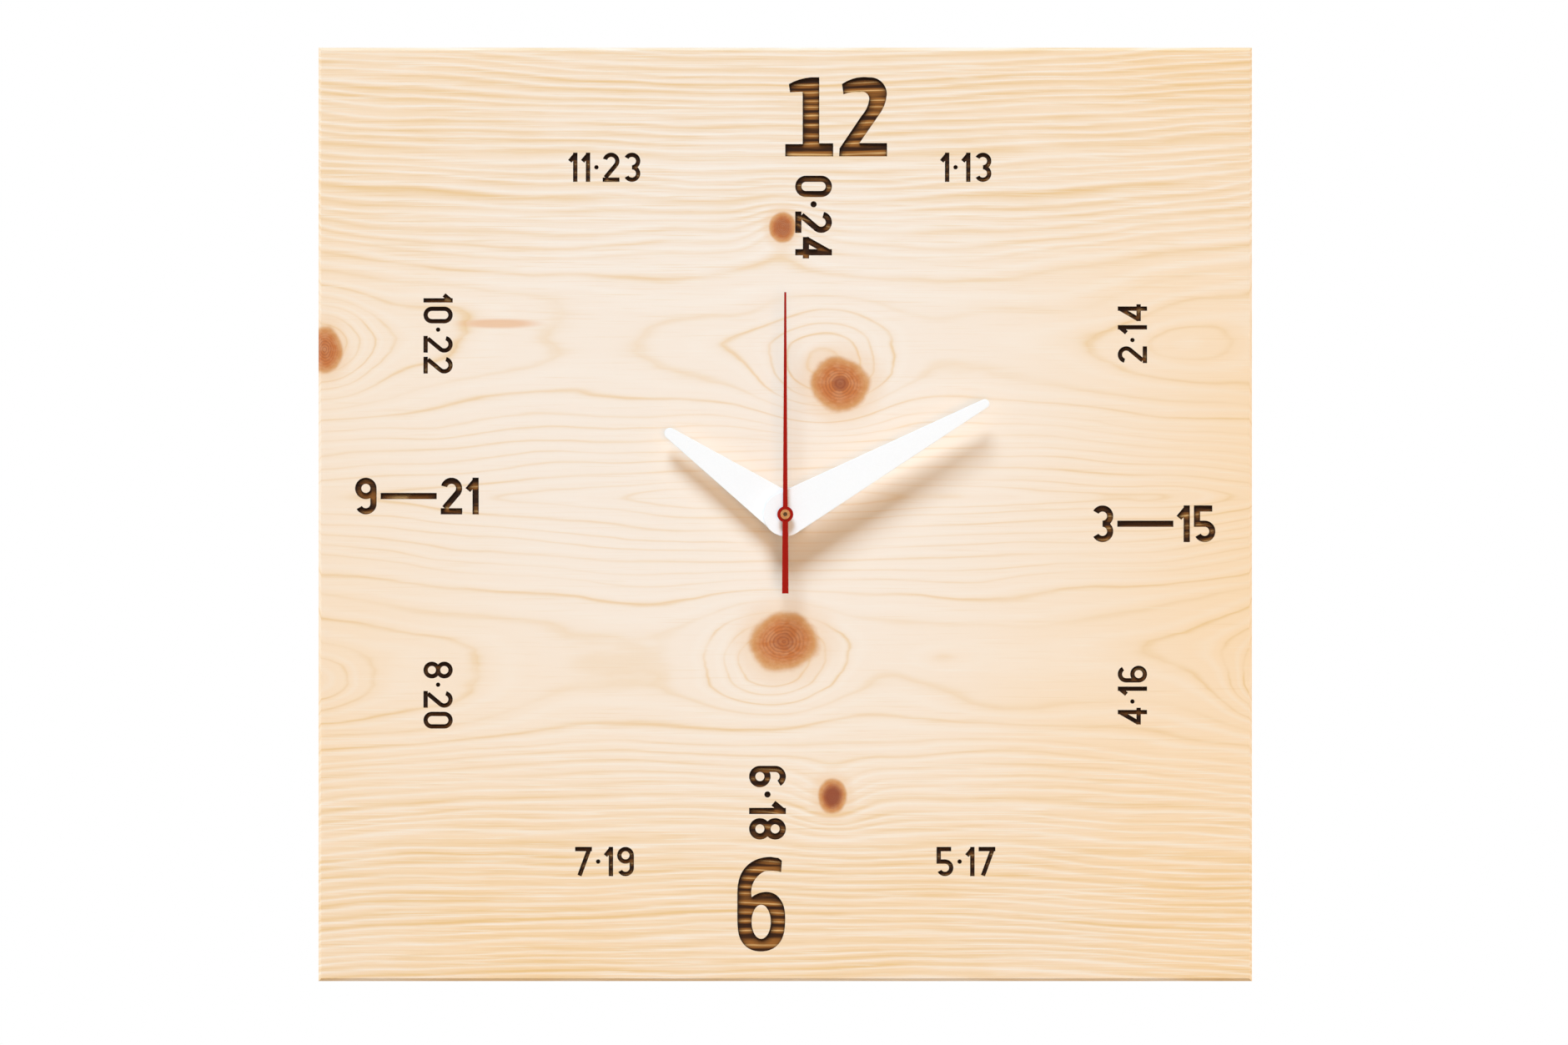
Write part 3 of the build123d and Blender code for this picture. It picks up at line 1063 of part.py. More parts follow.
with BuildPart() as contact_plus:
    block(INNER - CONTACT_THICKNESS, INNER, CONTACT_BOTTOM, BAY_MIDDLE + CONTACT_PLATE_HALF_HEIGHT,
          BATTERY_DEPTH - CONTACT_PLATE_HALF_DEPTH, BATTERY_DEPTH + CONTACT_PLATE_HALF_DEPTH)
    block(INNER - CONTACT_THICKNESS, INNER, CONTACT_BOTTOM, CHAMBER_BOTTOM + CONTACT_THICKNESS,
          CONTACT_BACK, CIRCUIT_BACK)
    block(CIRCUIT_RIGHT - CONTACT_WIDTH, INNER, CHAMBER_BOTTOM, CHAMBER_BOTTOM + CONTACT_THICKNESS,
          CONTACT_BACK, CIRCUIT_BACK)
    block(CIRCUIT_RIGHT - CONTACT_WIDTH, CIRCUIT_RIGHT - CONTACT_WIDTH + CONTACT_TAB, CHAMBER_BOTTOM,
          TAB_BOTTOM + CONTACT_TAB, CIRCUIT_BACK - CONTACT_THICKNESS, CIRCUIT_BACK)
export(contact_plus.part, "contact_plus")

# One AA cell, flat end on the leaf
with BuildPart() as battery:
    start = DIAL.from_local_coords((BATTERY_LEFT, BAY_MIDDLE, BATTERY_DEPTH))
    can_end = Plane(origin=start, x_dir=(0, 1, 0), z_dir=(1, 0, 0))
    with BuildSketch(can_end):
        Circle(BATTERY_R)
    extrude(amount=BATTERY_BODY)
    ends = battery.edges().filter_by(GeomType.CIRCLE)
    fillet(ends, BATTERY_EDGE_ROUND)
    with BuildSketch(can_end.offset(BATTERY_BODY)):
        Circle(BATTERY_NUB_R)
    extrude(amount=BATTERY_NUB)
export(battery.part, "battery")


def tapered_hand(hand, length, root_r, tip_r, tube_r, at, angle):
    """Flat tapered hand in the part being built, with a collar behind it, pressed on its tube."""
    with BuildSketch(dial_plane(at, turn=-angle)) as outline:
        Circle(root_r)
        with Locations((0, length - tip_r)):
            Circle(tip_r)
        make_hull()
    extrude(outline.sketch, amount=HAND_THICKNESS)
    front_edges = hand.faces().sort_by(Axis.Y)[0].edges()
    fillet(front_edges, HAND_EDGE_ROUND)
    collar_back = at - HAND_COLLAR_LENGTH
    disc(collar_back, HAND_COLLAR_LENGTH, tube_r + HAND_COLLAR_WALL)
    disc(collar_back, HAND_COLLAR_LENGTH + HAND_THICKNESS, tube_r, mode=Mode.SUBTRACT)


with BuildPart() as hour_hand:
    tapered_hand(hour_hand, HOUR_HAND_LENGTH, HOUR_HAND_ROOT_R, HOUR_HAND_TIP_R,
                 HOUR_TUBE_R, HOUR_HAND_AT, HOUR_HAND_ANGLE)
export(hour_hand.part, "hour_hand")

with BuildPart() as minute_hand:
    tapered_hand(minute_hand, MINUTE_HAND_LENGTH, MINUTE_HAND_ROOT_R, MINUTE_HAND_TIP_R,
                 MINUTE_TUBE_R, MINUTE_HAND_AT, MINUTE_HAND_ANGLE)
export(minute_hand.part, "minute_hand")

# Second hand: stamped from thin sheet, riveted on its brass bush
with BuildPart() as second_hand:
    with BuildSketch(dial_plane(SECOND_HAND_AT)):
        Circle(SECOND_HUB_R)
        with BuildLine():
            Polyline(
                (-SECOND_HAND_ROOT_WIDTH / 2, 0),
                (-SECOND_HAND_TIP_WIDTH / 2, SECOND_HAND_LENGTH),
                (SECOND_HAND_TIP_WIDTH / 2, SECOND_HAND_LENGTH),
                (SECOND_HAND_ROOT_WIDTH / 2, 0),
                close=True,
            )
        make_face()
        with BuildLine():
            Polyline(
                (-SECOND_TAIL_ROOT_WIDTH / 2, 0),
                (-SECOND_TAIL_END_WIDTH / 2, -SECOND_TAIL_LENGTH),
                (SECOND_TAIL_END_WIDTH / 2, -SECOND_TAIL_LENGTH),
                (SECOND_TAIL_ROOT_WIDTH / 2, 0),
                close=True,
            )
        make_face()
        Circle(SECOND_BUSH_R, mode=Mode.SUBTRACT)
    extrude(amount=SECOND_HAND_THICKNESS)
export(second_hand.part, "second_hand")

with BuildPart() as second_bush:
    turned((
        (SECOND_ARBOR_R, SECOND_BUSH_FRONT - SECOND_BUSH_LENGTH),
        (SECOND_BUSH_R, SECOND_BUSH_FRONT - SECOND_BUSH_LENGTH),
        (SECOND_BUSH_R, SECOND_BUSH_FRONT),
        (SECOND_ARBOR_R + SECOND_BUSH_CHAMFER, SECOND_BUSH_FRONT),
        (SECOND_ARBOR_R, SECOND_BUSH_FRONT - SECOND_BUSH_CHAMFER),
    ))
export(second_bush.part, "second_bush")
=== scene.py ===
# %% [markdown]
# # A square pine wall clock
# The clock is one slab of pale pine with burnt numerals, two white hands and a thin red second hand,
# and an ordinary quartz movement sits in a pocket behind it. The solid shapes come from the CAD frame,
# so this lesson is about finishes first, then the few small pieces that the frame leaves plain,
# and last the light and the camera. All lengths are metres unless a name ends in MM.

# %% Load the frame
import json
import math

import bpy
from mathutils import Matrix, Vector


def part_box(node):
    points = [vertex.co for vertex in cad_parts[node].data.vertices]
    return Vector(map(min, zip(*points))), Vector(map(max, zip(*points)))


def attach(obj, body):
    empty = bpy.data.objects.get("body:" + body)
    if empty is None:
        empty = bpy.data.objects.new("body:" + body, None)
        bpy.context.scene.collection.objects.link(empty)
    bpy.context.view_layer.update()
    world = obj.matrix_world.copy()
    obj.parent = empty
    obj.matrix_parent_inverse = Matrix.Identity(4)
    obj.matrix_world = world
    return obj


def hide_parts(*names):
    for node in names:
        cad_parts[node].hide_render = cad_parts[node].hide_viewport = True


MM = 0.001

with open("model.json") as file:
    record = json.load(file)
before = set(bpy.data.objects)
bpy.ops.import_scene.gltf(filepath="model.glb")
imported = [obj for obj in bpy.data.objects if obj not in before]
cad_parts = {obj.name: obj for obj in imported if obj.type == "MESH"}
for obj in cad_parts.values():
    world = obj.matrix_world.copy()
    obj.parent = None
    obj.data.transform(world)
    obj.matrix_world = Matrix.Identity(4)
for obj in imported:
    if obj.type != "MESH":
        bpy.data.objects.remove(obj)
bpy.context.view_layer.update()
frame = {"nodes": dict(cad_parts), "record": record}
nodes = frame["nodes"]
board_low, board_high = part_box("board")
arbor_low, arbor_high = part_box("second_arbor")
dial_x = (arbor_low.x + arbor_high.x) / 2
dial_z = (arbor_low.z + arbor_high.z) / 2
board_front = board_low.y
print("nodes:", len(nodes), "board:", tuple(round(v, 4) for v in board_high - board_low))

# %% [markdown]
# ## Tools for making finishes
# Every finish is a small tree of shader nodes. Adding and wiring each node by hand takes many lines,
# so a few short helpers do it: one adds a node, one feeds a socket with a link or a plain value,
# and the others stand for the nodes that come up again and again. Colours are written as they look
# on a screen, from 0 to 255, because that is how one reads them off a picture, and are turned
# into the linear values that the shader works with.

# %% Helpers for colours and values
SCREEN_WHITE = 255
SCREEN_KNEE = 0.04045
SCREEN_SLOPE = 12.92
SCREEN_OFFSET = 0.055
SCREEN_POWER = 2.4
# Sockets of the Mix node that are for colours
MIX_SHARE = 0
MIX_FIRST = 6
MIX_SECOND = 7
MIX_RESULT = 2
RAMP_MIDDLE = 0.5


def linear(level):
    """Linear value of one screen level."""
    share = level / SCREEN_WHITE
    if share <= SCREEN_KNEE:
        return share / SCREEN_SLOPE
    return ((share + SCREEN_OFFSET) / (1 + SCREEN_OFFSET)) ** SCREEN_POWER


def tint(red, green, blue):
    """Linear colour of a tint written in screen levels."""
    return (linear(red), linear(green), linear(blue), 1.0)


def add_node(tree, kind, **settings):
    node = tree.nodes.new(kind)
    for name, value in settings.items():
        setattr(node, name, value)
    return node


def feed(tree, socket, value):
    """Links a socket to an input, or sets the input to a plain value."""
    if isinstance(value, bpy.types.NodeSocket):
        tree.links.new(value, socket)
    else:
        socket.default_value = value


def calc(tree, operation, *values):
    node = add_node(tree, "ShaderNodeMath", operation=operation)
    for socket, value in zip(node.inputs, values):
        feed(tree, socket, value)
    return node.outputs["Value"]


def fade(tree, value, start, end, low=0.0, high=1.0):
    """Smooth step from low, where the value is at start, to high, where it is at end."""
    node = add_node(tree, "ShaderNodeMapRange", interpolation_type="SMOOTHSTEP")
    feed(tree, node.inputs["Value"], value)
    node.inputs["From Min"].default_value = start
    node.inputs["From Max"].default_value = end
    node.inputs["To Min"].default_value = low
    node.inputs["To Max"].default_value = high
    return node.outputs["Result"]


def blend(tree, share, first, second):
    """Colour that goes from first to second with the share."""
    node = add_node(tree, "ShaderNodeMix", data_type="RGBA")
    feed(tree, node.inputs[MIX_SHARE], share)
    feed(tree, node.inputs[MIX_FIRST], first)
    feed(tree, node.inputs[MIX_SECOND], second)
    return node.outputs[MIX_RESULT]


def curve(tree, value, stops):
    """Value read from a curve of (place, height) stops."""
    node = add_node(tree, "ShaderNodeValToRGB")
    elements = node.color_ramp.elements
    while len(elements) < len(stops):
        elements.new(RAMP_MIDDLE)
    for element, (place, height) in zip(elements, stops):
        element.position = place
        element.color = (height, height, height, 1)
    feed(tree, node.inputs["Fac"], value)
    return node.outputs["Color"]


print("white is", tint(SCREEN_WHITE, SCREEN_WHITE, SCREEN_WHITE)[0])

# %% [markdown]
# ## Tools for patterns and materials
# A pattern needs a place to be read from. Object coordinates stay with a piece when it moves, so every
# pattern here reads them, counted from the dial's centre and in millimetres, which are handy numbers
# for wood and metal. Most patterns are clouds of noise, stretched along the fibres or the tool marks.
# What more than one finish shares goes into a node group with named sockets.

# %% Helpers for patterns, groups and materials
NOISE_MIDDLE = 0.5


def noise(tree, place, stretch, detail=2.0):
    """Cloudy value from 0 to 1. The stretch is how long one cloud is along x, y and z."""
    scaled = add_node(tree, "ShaderNodeMapping")
    scaled.inputs["Scale"].default_value = [1 / length for length in stretch]
    feed(tree, scaled.inputs["Vector"], place)
    node = add_node(tree, "ShaderNodeTexNoise")
    node.inputs["Scale"].default_value = 1.0
    node.inputs["Detail"].default_value = detail
    tree.links.new(scaled.outputs["Vector"], node.inputs["Vector"])
    return node.outputs[0]


def swing(tree, place, stretch, detail=2.0):
    """Cloudy value that swings to both sides of 0."""
    return calc(tree, "SUBTRACT", noise(tree, place, stretch, detail), NOISE_MIDDLE)


def centred_place(tree, scale=1 / MM):
    """Place on the object, counted from the dial's centre on the wall, by default in millimetres."""
    spot = add_node(tree, "ShaderNodeTexCoord")
    mapping = add_node(tree, "ShaderNodeMapping")
    mapping.inputs["Location"].default_value = (-dial_x * scale, 0, -dial_z * scale)
    mapping.inputs["Scale"].default_value = (scale, scale, scale)
    tree.links.new(spot.outputs["Object"], mapping.inputs["Vector"])
    return mapping.outputs["Vector"]


def split_axes(tree, place):
    axes = add_node(tree, "ShaderNodeSeparateXYZ")
    tree.links.new(place, axes.inputs[0])
    return axes.outputs


def new_group(name, inputs, outputs):
    """Empty shader group with named sockets; returns it with its inner input and output nodes."""
    group = bpy.data.node_groups.new(name, "ShaderNodeTree")
    for label, kind in inputs:
        group.interface.new_socket(label, in_out="INPUT", socket_type="NodeSocket" + kind)
    for label, kind in outputs:
        group.interface.new_socket(label, in_out="OUTPUT", socket_type="NodeSocket" + kind)
    entry = add_node(group, "NodeGroupInput")
    result = add_node(group, "NodeGroupOutput")
    return group, entry, result


def place_group(tree, group, **values):
    node = add_node(tree, "ShaderNodeGroup", node_tree=group)
    for label, value in values.items():
        feed(tree, node.inputs[label], value)
    return node


def new_material(name):
    material = bpy.data.materials.new(name)
    material.use_nodes = True
    tree = material.node_tree
    return material, tree, tree.nodes["Principled BSDF"]


def set_relief(tree, shader, height):
    """Bump from a height in millimetres."""
    bump = add_node(tree, "ShaderNodeBump")
    bump.inputs["Strength"].default_value = 1.0
    bump.inputs["Distance"].default_value = MM
    feed(tree, bump.inputs["Height"], height)
    tree.links.new(bump.outputs["Normal"], shader.inputs["Normal"])


print("patterns count from x", round(dial_x, 4), "z", round(dial_z, 4))

# %% [markdown]
# ## How the pine grew
# The slab is two flat-sawn planks glued edge to edge. In each, the yearly rings are tubes round a pith
# line that runs along x behind the face, so the face shows lines along x that stand far apart in front
# of the pith and crowd towards the edges. A picture of grain would be quick, but it would not match
# on the edges and it is not ours to use. A field of ring numbers through the whole solid gives the face,
# the end grain and the back at once. Branches lift the rings round them, which closes the lines into
# loops, so each branch is a swelling taken off the field. One group measures how far a point is from
# an oval, and serves the swellings and the knots alike.

# %% Group: distance from an oval on the face
oval, oval_in, oval_out = new_group(
    "oval_distance",
    [("Place", "Vector"), ("Centre", "Vector"), ("Half Size", "Vector")],
    [("Ratio", "Float")],
)
oval_offset = add_node(oval, "ShaderNodeVectorMath", operation="SUBTRACT")
oval.links.new(oval_in.outputs["Place"], oval_offset.inputs[0])
oval.links.new(oval_in.outputs["Centre"], oval_offset.inputs[1])
oval_flat = add_node(oval, "ShaderNodeVectorMath", operation="MULTIPLY")
oval.links.new(oval_offset.outputs[0], oval_flat.inputs[0])
oval_flat.inputs[1].default_value = (1, 0, 1)
oval_share = add_node(oval, "ShaderNodeVectorMath", operation="DIVIDE")
oval.links.new(oval_flat.outputs[0], oval_share.inputs[0])
oval.links.new(oval_in.outputs["Half Size"], oval_share.inputs[1])
oval_length = add_node(oval, "ShaderNodeVectorMath", operation="LENGTH")
oval.links.new(oval_share.outputs[0], oval_length.inputs[0])
oval.links.new(oval_length.outputs["Value"], oval_out.inputs["Ratio"])


def oval_ratio(tree, place, x_mm, z_mm, half_width_mm, half_height_mm):
    """1 on the rim of an oval, 0 at its middle, growing outwards."""
    node = place_group(tree, oval)
    feed(tree, node.inputs["Place"], place)
    node.inputs["Centre"].default_value = (x_mm, 0, z_mm)
    node.inputs["Half Size"].default_value = (half_width_mm, 1, half_height_mm)
    return node.outputs["Ratio"]


print("group made:", oval.name)

# %% [markdown]
# ## The ring field
# The field is worked out in millimetres from the dial's centre. The nearer of the two piths gives
# the radius, a slow taper bends the lines along the plank, and two clouds of noise make them wander.
# The swellings round the branches come off it last. Drawing the lines one by one would follow a given
# slab more closely, but only a field can be asked for its value anywhere in the wood.

# %% Group: how far a point is from the pith
PITH_BEHIND_MM = 23.0
UPPER_PITH_MM = 58.0
LOWER_PITH_MM = -47.0
SEAM_SOFTNESS_MM = 6.0
HALF_BOARD_MM = (board_high.x - board_low.x) / 2 / MM
TAPER_MM = 5.0
SLOW_WANDER_MM = 4.2
SLOW_CLOUD_MM = (95, 45, 30)
QUICK_WANDER_MM = 0.6
QUICK_CLOUD_MM = (26, 8, 6)
# Swellings of the rings round the branches: x, z, half width, half height, lift in millimetres
SWELLS_MM = (
    (13.0, 47.0, 20.0, 17.0, 11.0),
    (-4.0, -47.0, 20.0, 16.0, 10.5),
    (-149.0, 54.0, 16.0, 16.0, 10.0),
    (-1.0, 92.0, 11.0, 10.0, 4.5),
    (15.0, -91.0, 12.0, 11.0, 5.0),
    (156.0, -54.0, 13.0, 12.0, 6.0),
    (-20.0, 55.0, 22.0, 7.0, 2.4),
    (-152.0, -53.0, 16.0, 9.0, 5.0),
    (128.0, 54.0, 18.0, 7.0, 2.6),
    (48.0, -47.0, 14.0, 5.0, 1.8),
)

pine, pine_in, pine_out = new_group(
    "pine_growth",
    [("Place", "Vector")],
    [("Late", "Float"), ("Ridge", "Float"), ("Spring", "Float"),
     ("Knot", "Float"), ("Heart", "Float"), ("Fibre", "Float")],
)
place = pine_in.outputs["Place"]
along, depth, height = split_axes(pine, place)


def square(value):
    return calc(pine, "MULTIPLY", value, value)


def pith_radius(pith_height_mm):
    behind = calc(pine, "SUBTRACT", depth, PITH_BEHIND_MM)
    above = calc(pine, "SUBTRACT", height, pith_height_mm)
    return calc(pine, "SQRT", calc(pine, "ADD", square(behind), square(above)))


radius = calc(pine, "SMOOTH_MIN", pith_radius(UPPER_PITH_MM), pith_radius(LOWER_PITH_MM), SEAM_SOFTNESS_MM)
taper = calc(pine, "MULTIPLY", square(calc(pine, "DIVIDE", along, HALF_BOARD_MM)), TAPER_MM)
radius = calc(pine, "SUBTRACT", radius, taper)
slow = swing(pine, place, SLOW_CLOUD_MM, detail=1.0)
quick = swing(pine, place, QUICK_CLOUD_MM)
radius = calc(pine, "MULTIPLY_ADD", slow, 2 * SLOW_WANDER_MM, radius)
radius = calc(pine, "MULTIPLY_ADD", quick, 2 * QUICK_WANDER_MM, radius)
for x, z, half_width, half_height, lift in SWELLS_MM:
    ratio = oval_ratio(pine, place, x, z, half_width, half_height)
    swell = calc(pine, "EXPONENT", calc(pine, "MULTIPLY", square(ratio), -1.0))
    radius = calc(pine, "MULTIPLY_ADD", swell, -lift, radius)
print("ring field of", len(SWELLS_MM), "swellings")

# %% [markdown]
# ## Years, knots and fibres
# Within a year the wood goes from pale spring wood to dark late wood, and breaks off sharply where
# the next spring begins. Two curves over the year say how dark and how bright it is. The lines
# are thin and faint in the middle of the slab, where it is sawn flat, and strong towards its top and bottom.
# A knot is a branch cut across: an oval with a ragged rim, whose ratio says how near a point is, and a heart.
# The group puts out the late wood as it shows (Late) and as it grew (Ridge), the spring wood (Spring),
# the nearest knot's ratio (Knot), how dark its heart is (Heart) and the fine fibres (Fibre).

# %% Group: years, knots and fibres
RING_MM = 2.5
RING_UNEVENNESS = 1.6
UNEVEN_MM = 9.0
FAINTEST_RING = 0.4
RUN_CLOUD_MM = (55, 30, 9)
LATE_CURVE = ((0.0, 0.44), (0.16, 0.0), (0.34, 0.10), (0.60, 0.48), (0.76, 0.94), (0.82, 1.0), (1.0, 0.44))
SPRING_CURVE = ((0.0, 0.0), (0.13, 0.9), (0.21, 1.0), (0.38, 0.0))
# Fades: where they start and end, and what they give there
THINNING_FADE = (50, 105, 5.5, 1.0)
RUN_FADE = (0.3, 0.65, 0.3, 1.0)
LATE_EDGE_FADE = (45, 125, 0.85, 1.0)
SPRING_EDGE_FADE = (45, 110, 0.35, 1.0)
FIBRE_EDGE_FADE = (45, 110, 0.5, 1.0)
FIBRE_CLOUD_MM = (22, 1.4, 0.45)
RAGGED_CLOUD_MM = (11, 24, 11)
RAGGED_SHARE = 0.4
CRUMB_CLOUD_MM = (2.6, 12, 2.2)
CRUMB_SHARE = 0.22
HEART_CORE = 0.4
# Knots: x, z, half width, half height in millimetres, share and darkness of the heart
KNOTS_MM = (
    (17.6, 42.0, 9.3, 8.4, 0.30, 0.62),
    (-0.4, -40.9, 11.0, 9.2, 0.40, 0.30),
    (-148.0, 53.0, 5.4, 7.2, 0.55, 0.12),
    (-0.9, 92.2, 4.0, 4.8, 0.95, 0.42),
    (15.1, -90.7, 4.6, 5.4, 0.95, 0.88),
)

uneven = add_node(pine, "ShaderNodeTexNoise", noise_dimensions="1D")
uneven.inputs["Scale"].default_value = 1 / UNEVEN_MM
uneven.inputs["Detail"].default_value = 1.0
pine.links.new(radius, uneven.inputs["W"])
rings = calc(pine, "DIVIDE", radius, RING_MM)
rings = calc(pine, "MULTIPLY_ADD", uneven.outputs[0], RING_UNEVENNESS, rings)
year = calc(pine, "FRACT", rings)
ridge = curve(pine, year, LATE_CURVE)
spring = curve(pine, year, SPRING_CURVE)
from_middle = calc(pine, "ABSOLUTE", height)
thin = calc(pine, "POWER", ridge, fade(pine, from_middle, *THINNING_FADE))
strength = add_node(pine, "ShaderNodeTexWhiteNoise", noise_dimensions="1D")
pine.links.new(calc(pine, "FLOOR", rings), strength.inputs["W"])
ring_strength = calc(pine, "MULTIPLY_ADD", strength.outputs["Value"], 1 - FAINTEST_RING, FAINTEST_RING)
run_strength = fade(pine, noise(pine, place, RUN_CLOUD_MM), *RUN_FADE)
late = calc(pine, "MULTIPLY", thin, calc(pine, "MULTIPLY", ring_strength, run_strength))
late = calc(pine, "MULTIPLY", late, fade(pine, from_middle, *LATE_EDGE_FADE))
spring = calc(pine, "MULTIPLY", spring, fade(pine, from_middle, *SPRING_EDGE_FADE))

ragged = swing(pine, place, RAGGED_CLOUD_MM, detail=1.5)
ragged = calc(pine, "MULTIPLY_ADD", swing(pine, place, CRUMB_CLOUD_MM), CRUMB_SHARE, ragged)
nearest = None
heart = None
for x, z, half_width, half_height, heart_share, darkness in KNOTS_MM:
    ratio = oval_ratio(pine, place, x, z, half_width, half_height)
    ratio = calc(pine, "MULTIPLY_ADD", ragged, RAGGED_SHARE, ratio)
    core = calc(pine, "MULTIPLY", fade(pine, ratio, heart_share, heart_share * HEART_CORE), darkness)
    nearest = ratio if nearest is None else calc(pine, "MINIMUM", nearest, ratio)
    heart = core if heart is None else calc(pine, "MAXIMUM", heart, core)
fibre = swing(pine, place, FIBRE_CLOUD_MM, detail=3.0)
fibre = calc(pine, "MULTIPLY_ADD", fibre, fade(pine, from_middle, *FIBRE_EDGE_FADE), NOISE_MIDDLE)
pine.links.new(late, pine_out.inputs["Late"])
pine.links.new(ridge, pine_out.inputs["Ridge"])
pine.links.new(spring, pine_out.inputs["Spring"])
pine.links.new(nearest, pine_out.inputs["Knot"])
pine.links.new(heart, pine_out.inputs["Heart"])
pine.links.new(fibre, pine_out.inputs["Fibre"])
print("group made:", pine.name, "with", len(KNOTS_MM), "knots and", len(pine.nodes), "nodes")

# %% [markdown]
# ## Pine, sanded
# The face is sanded and left pale, and it turns warmer and a little darker towards the right and the bottom.
# One tint for all of it would look like paint. So a pale and a warm tint are mixed by the distance from a
# point left of and above the middle, warmer further from it, broken up by a slow cloud, and the spring wood,
# the late wood, the fibres and one streak of resin are laid over them in turn.

# %% Material: sanded face
WARM_CENTRE_MM = (-20.0, 32.0)
WARM_CLOUD_MM = (120, 60, 70)
WARM_FADE = (0.35, 1.4)
WARM_CLOUD_FADE = (0.25, 0.6, 0.6, 1.0)
SPRING_SHARE = 0.36
LATE_SHARE = 0.8
FLECK_FADE = (0.52, 0.72, 0.0, 0.32)
GLEAM_FADE = (0.46, 0.3, 0.0, 0.4)
STREAK_FADE = (1.3, 0.5, 0.0, 0.7)
# Pocket of resin that shows as a streak: x, z, half width, half height in millimetres
STREAK_MM = (-92.0, 61.3, 13.0, 1.6)

pine_pale = tint(251, 234, 216)
pine_warm = tint(252, 217, 173)
pine_line = tint(233, 189, 120)
pine_spring = tint(254, 245, 232)
streak_tone = tint(236, 182, 134)

wood, tree, shader = new_material("pine_sanded_and_burnt")
place = centred_place(tree)
axes = split_axes(tree, place)
growth = place_group(tree, pine, Place=place)
late = growth.outputs["Late"]

edge_ratio = oval_ratio(tree, place, *WARM_CENTRE_MM, HALF_BOARD_MM, HALF_BOARD_MM)
edge_warmth = fade(tree, edge_ratio, *WARM_FADE)
cloud = noise(tree, place, WARM_CLOUD_MM, detail=1.0)
warmth = calc(tree, "MULTIPLY", edge_warmth, fade(tree, cloud, *WARM_CLOUD_FADE))
colour = blend(tree, warmth, pine_pale, pine_warm)
colour = blend(tree, calc(tree, "MULTIPLY", growth.outputs["Spring"], SPRING_SHARE), colour, pine_spring)
colour = blend(tree, calc(tree, "MULTIPLY", late, LATE_SHARE), colour, pine_line)
colour = blend(tree, fade(tree, growth.outputs["Fibre"], *FLECK_FADE), colour, pine_line)
colour = blend(tree, fade(tree, growth.outputs["Fibre"], *GLEAM_FADE), colour, pine_spring)
streak = fade(tree, oval_ratio(tree, place, *STREAK_MM), *STREAK_FADE)
colour = blend(tree, streak, colour, streak_tone)
print("sanded face:", len(tree.nodes), "nodes")

# %% [markdown]
# ## Knots
# A knot is brown in the middle and tan at its rim, with a warm halo in the wood round it, rings of its own
# and a dark heart that isn't quite round. A plain brown oval would look stuck on. All of it follows
# from the one ratio that the group gives: bands of it make the rim and the halo, and its whole steps
# make the rings.

# %% Material: knots
KNOT_RINGS = 8.0
HALO_FADE = (1.9, 1.0, 0.0, 0.4)
RIM_FADE = (0.55, 1.08)
KNOT_FADE = (1.14, 0.9)
MOTTLE_CLOUD_MM = (2.2, 4, 1.4)
MOTTLE_FADE = (0.35, 0.7, 0.0, 0.22)
KNOT_LINE_FADE = (0.9, 0.2, 0.05, 0.5)
SWIRL_SHARE = 0.9
SWIRL_FADE = (0.4, 1.0, 0.55, 1.0)

knot_halo = tint(241, 198, 152)
knot_rim = tint(218, 160, 102)
knot_wood = tint(204, 121, 65)
knot_heart = tint(142, 70, 48)

knot_ratio = growth.outputs["Knot"]
heart = growth.outputs["Heart"]
colour = blend(tree, fade(tree, knot_ratio, *HALO_FADE), colour, knot_halo)
mottle = noise(tree, place, MOTTLE_CLOUD_MM, detail=3.0)
knot_colour = blend(tree, fade(tree, knot_ratio, *RIM_FADE), knot_wood, knot_rim)
knot_colour = blend(tree, fade(tree, mottle, *MOTTLE_FADE), knot_colour, knot_halo)
knot_year = calc(tree, "FRACT", calc(tree, "MULTIPLY", knot_ratio, KNOT_RINGS))
knot_ring = curve(tree, knot_year, LATE_CURVE)
knot_line = calc(tree, "MULTIPLY", knot_ring, fade(tree, knot_ratio, *KNOT_LINE_FADE))
knot_colour = blend(tree, knot_line, knot_colour, knot_heart)
swirl = calc(tree, "MULTIPLY_ADD", mottle, SWIRL_SHARE, heart)
core = calc(tree, "MULTIPLY", heart, fade(tree, swirl, *SWIRL_FADE))
knot_colour = blend(tree, core, knot_colour, knot_heart)
colour = blend(tree, fade(tree, knot_ratio, *KNOT_FADE), colour, knot_colour)
print("with knots:", len(tree.nodes), "nodes")

# %% [markdown]
# ## Numerals, burnt
# A laser has burnt the numerals: the soft spring wood goes dark brown, the hard late wood stays tan
# and stands a little proud, and the cut walls are nearly black. Next to the walls the floor is painted near
# black as painted shade, most of it under the upper walls, where the key light's shadow falls. Painting masks
# by hand would tie the burn to one mesh. The cut floor lies below
# the face, so the depth of a point says whether it is burnt, and that holds wherever a numeral is cut.

# %% Material: burnt numerals, gloss and relief
FACE_MM = -board_front / MM
BURN_SKIN_MM = 0.05
FLOOR_BAND_MM = 0.7
BURN_REACH_MM = 1.5
BURN_MARGIN_MM = 1.2
SCORCH_CLOUD_MM = (30, 6, 1.6)
CHAR_SHARE = 1.6
CHAR_FADE = (0.0, 0.55)
BURN_LINE_FADE = (0.78, 0.98)
BURN_RUN_FADE = (0.3, 0.6, 0.35, 1.0)
# Painted shade on the cut floor next to the walls: how far the probe looks, its samples, its tilt towards the
# key light, and its fade
CORNER_REACH = 2.4 * MM
CORNER_SAMPLES = 6
PAINTED_SHADE_TILT = (-0.25, -0.65, 0.72)
PAINTED_SHADE_FADE = (0.97, 0.66)
ROUGH_FADE = (0.0, 1.0, 0.62, 0.50)
BURNT_ROUGH = 0.85
PINE_GLOSS = 0.2
LATE_RELIEF_MM = 0.012
FIBRE_RELIEF_MM = 0.02
